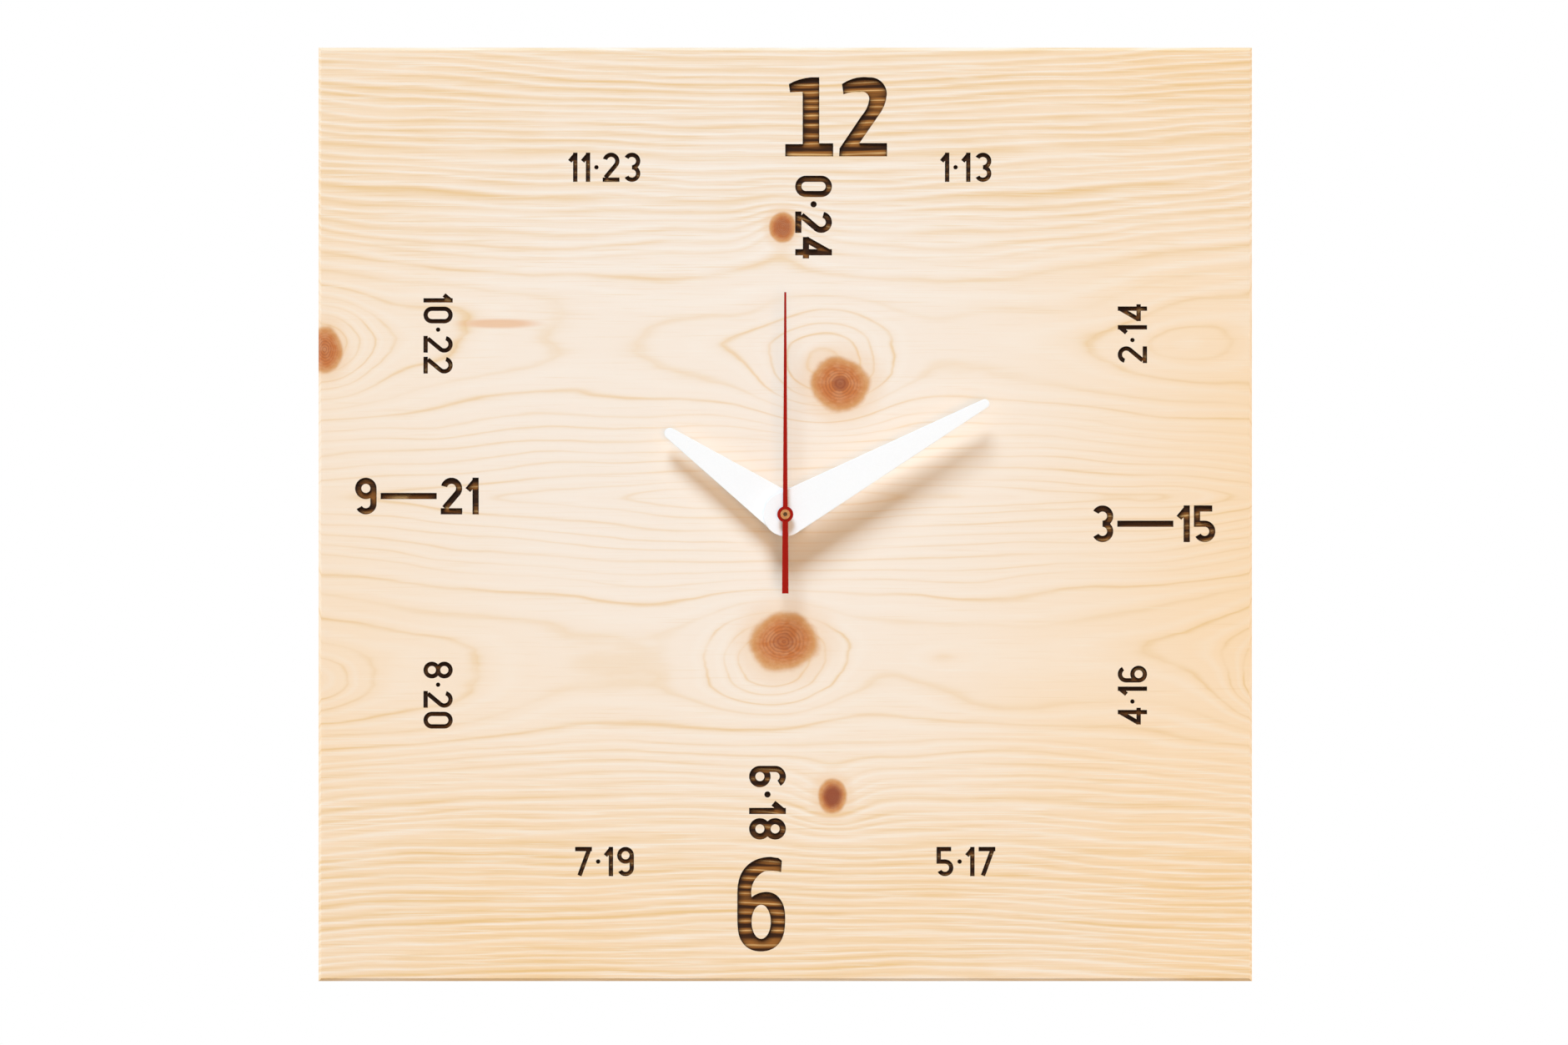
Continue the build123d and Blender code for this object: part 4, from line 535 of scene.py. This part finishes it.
BURNT_LATE_RELIEF_MM = 0.12
SCORCH_RELIEF_MM = 0.08

burn_dark = tint(58, 30, 9)
burn_brown = tint(156, 98, 42)
burn_line = tint(232, 184, 118)
# The last tint is the charred walls' own colour and also the painted shade next to them
wall_char_and_painted_shade = tint(32, 17, 8)

below_face = calc(tree, "ADD", axes["Y"], FACE_MM)
cut = calc(tree, "MULTIPLY",
           calc(tree, "GREATER_THAN", below_face, BURN_SKIN_MM),
           calc(tree, "LESS_THAN", below_face, BURN_REACH_MM))
for axis in ("X", "Z"):
    inside = calc(tree, "LESS_THAN", calc(tree, "ABSOLUTE", axes[axis]), HALF_BOARD_MM - BURN_MARGIN_MM)
    cut = calc(tree, "MULTIPLY", cut, inside)
scorch = noise(tree, place, SCORCH_CLOUD_MM, detail=3.0)
ridge = growth.outputs["Ridge"]
char = calc(tree, "MULTIPLY_ADD", calc(tree, "SUBTRACT", scorch, NOISE_MIDDLE), CHAR_SHARE, ridge)
burnt = blend(tree, fade(tree, char, *CHAR_FADE), burn_dark, burn_brown)
line = calc(tree, "MULTIPLY", fade(tree, ridge, *BURN_LINE_FADE), fade(tree, scorch, *BURN_RUN_FADE))
burnt = blend(tree, line, burnt, burn_line)
# Painted shade: occlusion, tilted towards the key light, darkens the cut floor to near black beside the
# walls, most under the upper walls where the key's shadow falls
corner = add_node(tree, "ShaderNodeAmbientOcclusion", only_local=True, samples=CORNER_SAMPLES)
corner.inputs["Distance"].default_value = CORNER_REACH
upward = add_node(tree, "ShaderNodeCombineXYZ")
for socket, share in zip(upward.inputs, PAINTED_SHADE_TILT):
    socket.default_value = share
tree.links.new(upward.outputs["Vector"], corner.inputs["Normal"])
painted_corner_shade = fade(tree, corner.outputs["AO"], *PAINTED_SHADE_FADE)
wall = calc(tree, "LESS_THAN", below_face, FLOOR_BAND_MM)
burnt = blend(tree, calc(tree, "MAXIMUM", painted_corner_shade, wall), burnt, wall_char_and_painted_shade)
colour = blend(tree, cut, colour, burnt)
tree.links.new(colour, shader.inputs["Base Color"])

roughness = fade(tree, late, *ROUGH_FADE)
roughness = calc(tree, "MAXIMUM", roughness, calc(tree, "MULTIPLY", cut, BURNT_ROUGH))
tree.links.new(roughness, shader.inputs["Roughness"])
shader.inputs["Specular IOR Level"].default_value = PINE_GLOSS
fibre_relief = calc(tree, "MULTIPLY", growth.outputs["Fibre"], FIBRE_RELIEF_MM)
face_relief = calc(tree, "MULTIPLY_ADD", late, LATE_RELIEF_MM, fibre_relief)
scorch_relief = calc(tree, "MULTIPLY", scorch, SCORCH_RELIEF_MM)
burnt_relief = calc(tree, "MULTIPLY_ADD", late, BURNT_LATE_RELIEF_MM, scorch_relief)
set_relief(tree, shader, calc(tree, "ADD", face_relief, calc(tree, "MULTIPLY", cut, burnt_relief)))
nodes["board"].data.materials.clear()
nodes["board"].data.materials.append(wood)
print("pine:", len(tree.nodes), "nodes")

# %% [markdown]
# ## A shared fine grain
# No made surface is one flat colour: lacquer has a faint orange peel, moulded plastic the matt grain
# of its tool, metal the marks of turning or rolling. These are the same effect at different sizes, so one
# group makes it and each finish places it with its own scale and stretch. It puts out a shade from 0 to 1
# and a height, and the shader stays in the material.

# %% Group: fine grain
GRAIN_DETAIL = 3.0
GRAIN_FADE = (0.3, 0.7)

grain, grain_in, grain_out = new_group(
    "fine_grain",
    [("Place", "Vector"), ("Cloud", "Vector"), ("Depth", "Float")],
    [("Shade", "Float"), ("Height", "Float")],
)
grain_scale = add_node(grain, "ShaderNodeVectorMath", operation="MULTIPLY")
grain.links.new(grain_in.outputs["Place"], grain_scale.inputs[0])
grain.links.new(grain_in.outputs["Cloud"], grain_scale.inputs[1])
grain_noise = add_node(grain, "ShaderNodeTexNoise")
grain_noise.inputs["Scale"].default_value = 1.0
grain_noise.inputs["Detail"].default_value = GRAIN_DETAIL
grain.links.new(grain_scale.outputs[0], grain_noise.inputs["Vector"])
grain_shade = fade(grain, grain_noise.outputs[0], *GRAIN_FADE)
grain.links.new(grain_shade, grain_out.inputs["Shade"])
grain_height = calc(grain, "MULTIPLY", grain_noise.outputs[0], grain_in.outputs["Depth"])
grain.links.new(grain_height, grain_out.inputs["Height"])
print("group made:", grain.name)

# %% [markdown]
# ## The other finishes
# The hands are stamped sheet with satin lacquer. The nut and the minute arbor are turned brass,
# so their marks run round the axis and look short along it; the second hand's bush is brass gone dull,
# on an arbor that is coloured dark brown. The movement's case is black plastic with a matt grain,
# its wheels are natural plastic, and the rest is zinc-plated steel, soft iron, enamelled wire and resin.
# Each is one line: two tints, the size of a cloud in millimetres, its depth, the roughness and the gloss.

# %% Finishes of everything that isn't wood
def finish(name, dark, light, cloud_mm, depth_mm, rough, metallic=0.0, gloss=0.5):
    """Finish whose colour and gloss wander between two values with the fine grain."""
    material, tree, shader = new_material(name)
    node = place_group(tree, grain, Depth=depth_mm, Place=centred_place(tree))
    node.inputs["Cloud"].default_value = [1 / length for length in cloud_mm]
    shade = node.outputs["Shade"]
    tree.links.new(blend(tree, shade, tint(*dark), tint(*light)), shader.inputs["Base Color"])
    tree.links.new(fade(tree, shade, 0.0, 1.0, *rough), shader.inputs["Roughness"])
    shader.inputs["Metallic"].default_value = metallic
    shader.inputs["Specular IOR Level"].default_value = gloss
    set_relief(tree, shader, node.outputs["Height"])
    return material


FINISHES = {
    "white_lacquer": finish("satin_white_lacquer", (249, 249, 248), (251, 251, 250), (0.5, 0.5, 0.5), 0.001,
                            (0.34, 0.42), gloss=0.3),
    "red_lacquer": finish("satin_red_lacquer", (154, 3, 2), (166, 5, 3), (0.4, 0.4, 0.4), 0.001,
                          (0.36, 0.46), gloss=0.1),
    "brass": finish("turned_brass", (158, 118, 54), (196, 156, 86), (0.6, 0.05, 0.6), 0.003,
                    (0.26, 0.40), metallic=1.0),
    "steel": finish("zinc_plated_steel", (150, 154, 158), (184, 187, 190), (3.0, 1.0, 0.8), 0.004,
                    (0.36, 0.52), metallic=1.0),
    "motor_iron": finish("soft_iron_sheet", (128, 128, 130), (160, 160, 160), (4.0, 1.0, 0.4), 0.004,
                         (0.40, 0.55), metallic=1.0),
    "black_plastic": finish("matt_black_plastic", (26, 26, 27), (36, 36, 37), (0.25, 0.25, 0.25), 0.02,
                            (0.50, 0.66)),
    "white_plastic": finish("natural_plastic", (226, 224, 214), (240, 238, 230), (0.8, 0.8, 0.8), 0.006,
                            (0.42, 0.55)),
    "copper": finish("enamelled_wire", (150, 72, 34), (206, 120, 66), (0.12, 2.0, 2.0), 0.05,
                     (0.24, 0.40), metallic=0.8),
    "magnet": finish("sintered_magnet", (58, 58, 60), (84, 84, 86), (0.3, 0.3, 0.3), 0.01,
                     (0.50, 0.70), metallic=0.6),
    "circuit": finish("paper_board", (150, 122, 66), (174, 144, 84), (2.0, 2.0, 2.0), 0.005,
                      (0.50, 0.65)),
    "resin": finish("black_resin", (14, 14, 14), (24, 24, 24), (0.8, 0.8, 0.8), 0.01,
                    (0.12, 0.25)),
    "crystal_can": finish("bright_can", (190, 192, 194), (218, 218, 218), (0.3, 0.3, 2.0), 0.002,
                          (0.14, 0.26), metallic=1.0),
    "rubber": finish("black_rubber", (22, 22, 22), (34, 34, 33), (0.4, 0.4, 0.4), 0.02,
                     (0.70, 0.85)),
    "cell_can": finish("cell_steel", (176, 178, 180), (208, 208, 208), (1.0, 1.0, 1.0), 0.003,
                       (0.25, 0.40), metallic=1.0),
}
OWN_FINISHES = {
    "second_arbor": finish("dark_brown_arbor", (44, 35, 24), (66, 53, 38), (0.5, 0.1, 0.5), 0.002,
                           (0.3, 0.45), metallic=0.9),
    "second_bush": finish("dull_brass", (112, 84, 58), (156, 120, 84), (0.5, 0.05, 0.5), 0.003,
                          (0.34, 0.5), metallic=0.9),
}
painted = 0
for row in frame["record"]["subparts"]:
    if row["material_slot"] in FINISHES:
        slots = nodes[row["node"]].data.materials
        slots.clear()
        slots.append(FINISHES[row["material_slot"]])
        painted += 1
for name, material in OWN_FINISHES.items():
    nodes[name].data.materials[0] = material
print("finishes:", len(FINISHES) + len(OWN_FINISHES), "given to", painted, "nodes")

# %% [markdown]
# ## Tools for modelling
# The small pieces are modelled as by hand: a primitive is added, some of its faces are picked, and these
# are inset, extruded or bevelled. In a script no one clicks on faces, so one helper picks those that pass
# a test on their normal or place. Another puts a piece's place into its mesh, so that the object
# itself sits at the origin, and a third rounds the edges, because a truly sharp edge never catches light.

# %% Helpers for modelling
# A face looks along an axis where its normal's share of it is above this
FACING = 0.999


def start_piece(name, scale=(1, 1, 1)):
    """Names the primitive just added, and puts its scale and place into its mesh."""
    piece = bpy.context.object
    piece.name = name
    piece.data.name = name
    piece.scale = scale
    bpy.ops.object.transform_apply(location=True, rotation=True, scale=True)
    return piece


def pick_faces(piece, test):
    """Leaves the piece in edit mode with just the faces selected that pass the test."""
    bpy.ops.object.mode_set(mode="EDIT")
    bpy.ops.mesh.select_mode(type="FACE")
    bpy.ops.mesh.select_all(action="DESELECT")
    bpy.ops.object.mode_set(mode="OBJECT")
    for face in piece.data.polygons:
        face.select = test(face)
    bpy.ops.object.mode_set(mode="EDIT")


def push(across, along, up):
    """Extrudes the picked faces by a move."""
    bpy.ops.mesh.extrude_region_move(TRANSFORM_OT_translate={"value": (across, along, up)})


def soften(piece, width, segments=2):
    """Rounds the sharp edges of a piece and shades it by angle."""
    bpy.ops.object.mode_set(mode="OBJECT")
    bevel = piece.modifiers.new("soft_edges", "BEVEL")
    bevel.width = width
    bevel.segments = segments
    bevel.limit_method = "ANGLE"
    bpy.ops.object.modifier_apply(modifier=bevel.name)
    bpy.ops.object.shade_smooth_by_angle()


print("modelling helpers ready, faces are picked above", FACING)

# %% [markdown]
# ## The cell
# The movement runs on one AA cell. A real one is a steel can in a printed film that folds over both rims,
# with a pale sealing ring round the raised contact. A lathe profile would do, but starting from a cylinder
# and insetting its ends shows the folded rims with fewer steps.

# %% Shape of the cell
CELL_NUB = 1.0 * MM
CELL_NUB_RADIUS = 2.7 * MM
CELL_RIM = 0.4 * MM
CELL_RIM_STEPS = 4
CELL_FOLD = 0.6 * MM
CELL_SEAL_RADIUS = 4.6 * MM
CELL_SINK = 0.25 * MM
CELL_ROUND = 0.08 * MM
CELL_SIDES = 96

cell_low, cell_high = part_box("battery")
cell_radius = (cell_high.z - cell_low.z) / 2
fold_radius = cell_radius - CELL_RIM - CELL_FOLD
can_end = cell_high.x - CELL_NUB
can_length = can_end - cell_low.x
cell_middle = (cell_low + cell_high) / 2
bpy.ops.object.select_all(action="DESELECT")
bpy.ops.mesh.primitive_cylinder_add(
    vertices=CELL_SIDES, radius=cell_radius, depth=can_length,
    location=(cell_low.x + can_length / 2, cell_middle.y, cell_middle.z),
    rotation=(0, math.pi / 2, 0),
)
cell = start_piece("cell_with_film")
for side in (1, -1):
    pick_faces(cell, lambda face: face.normal.x * side > FACING)
    bpy.ops.mesh.bevel(offset=CELL_RIM, segments=CELL_RIM_STEPS, affect="EDGES")
    pick_faces(cell, lambda face: face.normal.x * side > FACING)
    bpy.ops.mesh.inset(thickness=CELL_FOLD)
    push(-side * CELL_SINK, 0, 0)
pick_faces(cell, lambda face: face.normal.x > FACING and face.area > math.pi * CELL_NUB_RADIUS**2)
bpy.ops.mesh.inset(thickness=fold_radius - CELL_SEAL_RADIUS)
push(CELL_SINK, 0, 0)
bpy.ops.mesh.inset(thickness=CELL_SEAL_RADIUS - CELL_NUB_RADIUS)
push(CELL_NUB, 0, 0)
soften(cell, CELL_ROUND)
print("cell:", len(cell.data.polygons), "faces, can", round(can_length / MM, 1), "mm long")

# %% [markdown]
# ## The film round the cell
# The film is plain and pale, with one darker band that marks the raised end, and it ends where it folds
# over the rims; inside that the bare can shows. A second mesh for the film would have to lie a hair
# above the can. Two materials on one mesh, chosen by how far a face is from the axis, need no such gap.

# %% Film, bare ends and the body that the cell rides on
BAND_SHARE = 0.16
FILM_DEPTH_MM = 0.004
FILM_CLOUDS_PER_MM = (0.5, 2.0, 2.0)
FILM_ROUGH = (0.26, 0.36)

film, tree, shader = new_material("plain_cell_film")
place = centred_place(tree)
axes = split_axes(tree, place)
node = place_group(tree, grain, Depth=FILM_DEPTH_MM, Place=place)
node.inputs["Cloud"].default_value = FILM_CLOUDS_PER_MM
shade = node.outputs["Shade"]
band = calc(tree, "GREATER_THAN", axes["X"], (can_end - can_length * BAND_SHARE - dial_x) / MM)
film_light = blend(tree, shade, tint(193, 199, 203), tint(200, 205, 208))
film_dark = blend(tree, shade, tint(52, 74, 92), tint(60, 84, 104))
tree.links.new(blend(tree, band, film_light, film_dark), shader.inputs["Base Color"])
tree.links.new(fade(tree, shade, 0.0, 1.0, *FILM_ROUGH), shader.inputs["Roughness"])
set_relief(tree, shader, node.outputs["Height"])
cell.data.materials.append(film)
cell.data.materials.append(FINISHES["cell_can"])
bare = 0
for face in cell.data.polygons:
    from_axis = math.hypot(face.center.y - cell_middle.y, face.center.z - cell_middle.z)
    face.material_index = 1 if from_axis < fold_radius else 0
    bare += face.material_index
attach(cell, "cell")
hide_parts("battery")
print("bare faces of the cell:", bare)

# %% [markdown]
# ## Marks moulded in the case
# Beside the battery bay the mould leaves a raised cross and a raised bar, so that the cell goes in the right
# way. They could be painted on, but on a black case only their relief and a polished face show, so they
# are modelled: the cross grows out of a cube's four sides, and the bar is a longer block.

# %% Cross and bar on the back of the movement
MARK_RISE = 0.3 * MM
MARK_STROKE = 1.0 * MM
MARK_ARM = 1.3 * MM
MARK_INSET = 3.6 * MM
MARK_ABOVE_CELL = 4.5 * MM
MARK_ROUND = 0.08 * MM

polished_plastic = finish("polished_black_plastic", (42, 42, 43), (54, 54, 55), (0.6, 0.6, 0.6), 0.004,
                          (0.22, 0.34))
case_low, case_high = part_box("rear_case")
case_back = case_high.y
mark_height = cell_high.z + MARK_ABOVE_CELL
mark_y = case_back + MARK_RISE / 2


def mark_block(name, x, z, size_x, size_z):
    """Small raised block on the back of the case."""
    bpy.ops.object.select_all(action="DESELECT")
    bpy.ops.mesh.primitive_cube_add(size=1, location=(x, mark_y, z))
    return start_piece(name, (size_x, MARK_RISE, size_z))


def join_case(piece):
    """Lets a mark ride on the clock, and says how many faces it has."""
    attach(piece, "clock")
    print("moulded mark:", piece.name, len(piece.data.polygons), "faces")


def mould_in(piece):
    piece.data.materials.append(polished_plastic)
    join_case(piece)


cross = mark_block("cross_mark", case_high.x - MARK_INSET, mark_height, MARK_STROKE, MARK_STROKE)
pick_faces(cross, lambda face: abs(face.normal.y) < FACING)
bpy.ops.mesh.extrude_faces_move(TRANSFORM_OT_shrink_fatten={"value": MARK_ARM})
soften(cross, MARK_ROUND)
mould_in(cross)
bar = mark_block("bar_mark", case_low.x + MARK_INSET, mark_height, 2 * MARK_ARM + MARK_STROKE, MARK_STROKE)
soften(bar, MARK_ROUND)
mould_in(bar)

# %% [markdown]
# ## The arrow round the setting knob
# A raised arc with a point shows which way the knob turns. A text symbol would need a font. Here
# a small square is spun about the knob's axis, as one would bend a strip, and a three-sided cylinder,
# turned to point along the arc, is joined to its end.

# %% Turning arrow
ARC_RADIUS = 7.6 * MM
ARC_STROKE = 0.8 * MM
ARC_SWEEP = 170.0
ARC_START = 230.0
ARC_STEPS = 30
MERGE_REACH = MARK_ROUND / 10
POINT_RADIUS = 1.6 * MM
POINT_RISE = 0.36 * MM

knob_low, knob_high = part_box("setting_knob")
knob_x = (knob_low.x + knob_high.x) / 2
knob_z = (knob_low.z + knob_high.z) / 2
start = math.radians(ARC_START)
end = math.radians(ARC_START - ARC_SWEEP)
bpy.ops.object.select_all(action="DESELECT")
bpy.ops.mesh.primitive_plane_add(
    size=1,
    location=(knob_x + ARC_RADIUS * math.cos(start), mark_y, knob_z + ARC_RADIUS * math.sin(start)),
    rotation=(0, -start, 0),
)
arc = start_piece("turning_arrow", (ARC_STROKE, MARK_RISE, 1))
bpy.ops.object.mode_set(mode="EDIT")
bpy.ops.mesh.select_all(action="SELECT")
bpy.ops.mesh.spin(
    steps=ARC_STEPS, angle=math.radians(ARC_SWEEP), center=(knob_x, mark_y, knob_z), axis=(0, -1, 0),
)
bpy.ops.mesh.select_all(action="SELECT")
bpy.ops.mesh.remove_doubles(threshold=MERGE_REACH)
bpy.ops.mesh.fill_holes(sides=4)
bpy.ops.mesh.select_all(action="SELECT")
bpy.ops.mesh.normals_make_consistent(inside=False)
bpy.ops.object.mode_set(mode="OBJECT")
bpy.ops.object.select_all(action="DESELECT")
bpy.ops.mesh.primitive_cylinder_add(
    vertices=3, radius=POINT_RADIUS, depth=POINT_RISE,
    location=(
        knob_x + ARC_RADIUS * math.cos(end),
        case_back + POINT_RISE / 2,
        knob_z + ARC_RADIUS * math.sin(end),
    ),
    rotation=(math.pi / 2, math.pi - end, 0),
)
start_piece("arrow_point")
arc.select_set(True)
bpy.context.view_layer.objects.active = arc
bpy.ops.object.join()
soften(arc, MARK_ROUND)
mould_in(arc)

# %% [markdown]
# ## Where the pins pushed the case out
# When the mould opens, three pins push the case out of it, and each leaves a low round mark with a lip.
# Three rings could be modelled one by one, but they are the same, so the first is made from a cylinder,
# with its face inset and pushed in, and the other two are copies with meshes of their own.

# %% Round marks of the ejector pins
PIN_RADIUS = 2.2 * MM
PIN_RISE = 0.12 * MM
PIN_SINK = 0.08 * MM
PIN_LIP = 0.35 * MM
PIN_ROUND = 0.03 * MM
PIN_SIDES = 48
PIN_INSET = 8.0 * MM

bpy.ops.object.select_all(action="DESELECT")
bpy.ops.mesh.primitive_cylinder_add(
    vertices=PIN_SIDES, radius=PIN_RADIUS, depth=PIN_RISE,
    location=(case_high.x - PIN_INSET, case_back + PIN_RISE / 2, case_high.z - PIN_INSET),
    rotation=(-math.pi / 2, 0, 0),
)
pin_mark = start_piece("pin_mark_1")
pick_faces(pin_mark, lambda face: face.normal.y > FACING)
bpy.ops.mesh.inset(thickness=PIN_LIP)
push(0, -PIN_SINK, 0)
soften(pin_mark, PIN_ROUND)
mould_in(pin_mark)
to_far_side = 2 * PIN_INSET - (case_high.x - case_low.x)
to_knob_height = knob_z + PIN_INSET - case_high.z
for number, up in ((2, 0), (3, to_knob_height)):
    bpy.ops.object.select_all(action="DESELECT")
    pin_mark.select_set(True)
    bpy.context.view_layer.objects.active = pin_mark
    bpy.ops.object.duplicate()
    bpy.context.object.location = (to_far_side, 0, up)
    join_case(start_piece(f"pin_mark_{number}"))

# %% [markdown]
# ## Light
# A head-on picture on plain white needs a white ground for the camera, a soft key light from above
# and a little to the left, which throws the hands' shadows down the board, and an even fill. The world is
# white to the eye and to reflections, and only a dim neutral fill to everything else, so the white ground
# adds no glare. One white key would leave grey shadows. Here a cool key and a warm lamp in front add up
# to neutral light on the face, and where the key is shaded the warm lamp is left. Two lamps skim the edges
# and one lights the back, for the other views.

# %% World and lamps
GROUND_COLOUR = (1.0, 1.0, 1.0, 1.0)
FILL_COLOUR = (0.13, 0.13, 0.13, 1.0)
# Lamps: name, power, width, side it shines from, distance, colour
LAMPS = (
    ("key_light", 332.0, 2.3, (-0.2, -1.0, 1.35), 6.0, (0.76, 1.0, 1.24)),
    ("front_fill", 19.4, 1.2, (0.1, -1.0, -0.02), 2.5, (1.0, 0.6, 0.24)),
    ("right_edge_light", 24.0, 1.2, (1.0, 0.12, 0.05), 2.5, (1.0, 1.0, 1.0)),
    ("left_edge_light", 24.0, 1.2, (-1.0, 0.12, 0.05), 2.5, (1.0, 1.0, 1.0)),
    ("back_light", 66.0, 1.5, (0.75, 1.0, 0.45), 3.0, (1.0, 1.0, 1.0)),
)

world = bpy.data.worlds.new("studio")
bpy.context.scene.world = world
world.use_nodes = True
tree = world.node_tree
rays = add_node(tree, "ShaderNodeLightPath")
seen = calc(tree, "MAXIMUM", rays.outputs["Is Camera Ray"], rays.outputs["Is Glossy Ray"])
seen = calc(tree, "MAXIMUM", seen, rays.outputs["Is Transmission Ray"])
background = tree.nodes["Background"]
tree.links.new(blend(tree, seen, FILL_COLOUR, GROUND_COLOUR), background.inputs["Color"])
background.inputs["Strength"].default_value = 1.0


def add_lamp(name, power, width, from_side, distance, colour):
    """Round soft lamp that looks at the dial's centre from a direction."""
    light = bpy.data.lights.new(name, "AREA")
    light.shape = "DISK"
    light.size = width
    light.energy = power
    light.color = colour
    lamp = bpy.data.objects.new(name, light)
    bpy.context.scene.collection.objects.link(lamp)
    across, towards, up = from_side
    flat = math.hypot(across, towards)
    share = distance / math.hypot(flat, up)
    lamp.location = (dial_x + across * share, board_front + towards * share, dial_z + up * share)
    lamp.rotation_euler = (math.atan2(flat, up), 0, math.atan2(across, -towards))
    lamp.visible_camera = False


for row in LAMPS:
    add_lamp(*row)
print("lamps:", len(LAMPS))

# %% [markdown]
# ## The floor
# The floor lies far below, out of the head-on view, and shows from the other sides with the clock's soft
# shadow on it. A floor without end would meet the white ground in a hard horizon. This one melts into it,
# for the camera alone, between two distances from the dial, and throws a slightly darker light back up.

# %% Floor that melts into the ground
FLOOR_DROP = 0.45
FLOOR_HALF = 1.5
FLOOR_FULL = 0.8
FLOOR_GONE = 1.5
FLOOR_CLOUD_MM = (60, 60, 60)
FLOOR_ROUGH = 0.8

bpy.ops.object.select_all(action="DESELECT")
bpy.ops.mesh.primitive_plane_add(size=2 * FLOOR_HALF, location=(0, 0, board_low.z - FLOOR_DROP))
floor = start_piece("floor")
floor_paint, tree, shader = new_material("pale_floor")
rays = add_node(tree, "ShaderNodeLightPath")
floor_cloud = noise(tree, centred_place(tree), FLOOR_CLOUD_MM)
floor_seen = blend(tree, floor_cloud, tint(222, 211, 198), tint(228, 217, 204))
floor_tone = blend(tree, rays.outputs["Is Camera Ray"], tint(178, 175, 170), floor_seen)
tree.links.new(floor_tone, shader.inputs["Base Color"])
shader.inputs["Roughness"].default_value = FLOOR_ROUGH
spread = add_node(tree, "ShaderNodeVectorMath", operation="LENGTH")
tree.links.new(centred_place(tree, 1.0), spread.inputs[0])
white_ground = add_node(tree, "ShaderNodeEmission")
melt = add_node(tree, "ShaderNodeMixShader")
far_share = fade(tree, spread.outputs["Value"], FLOOR_FULL, FLOOR_GONE)
tree.links.new(calc(tree, "MULTIPLY", far_share, rays.outputs["Is Camera Ray"]), melt.inputs["Fac"])
tree.links.new(shader.outputs["BSDF"], melt.inputs[1])
tree.links.new(white_ground.outputs["Emission"], melt.inputs[2])
tree.links.new(melt.outputs["Shader"], tree.nodes["Material Output"].inputs["Surface"])
floor.data.materials.append(floor_paint)
print("floor at z", round(board_low.z - FLOOR_DROP, 3))

# %% [markdown]
# ## The camera
# The picture is taken square on, from far enough that the board's sides don't show. A flat view without
# perspective would hide that the hands stand in front of the dial, so a long lens is used, at the distance
# where the frame is as wide at the board's face as the picture is.

# %% Camera
LENS_MM = 100.0
FRAME_WIDTH = 0.5036
AIM_LEFT = 0.0004
AIM_BELOW = 0.0026

camera_data = bpy.data.cameras.new("camera")
camera_data.lens = LENS_MM
camera = bpy.data.objects.new("camera", camera_data)
bpy.context.scene.collection.objects.link(camera)
distance = FRAME_WIDTH * camera_data.lens / camera_data.sensor_width
camera.location = (dial_x - AIM_LEFT, board_front - distance, dial_z - AIM_BELOW)
camera.rotation_euler = (math.pi / 2, 0, 0)
bpy.context.scene.camera = camera
bpy.context.scene.view_settings.view_transform = "Standard"
print("camera", round(distance, 3), "m in front of the board")
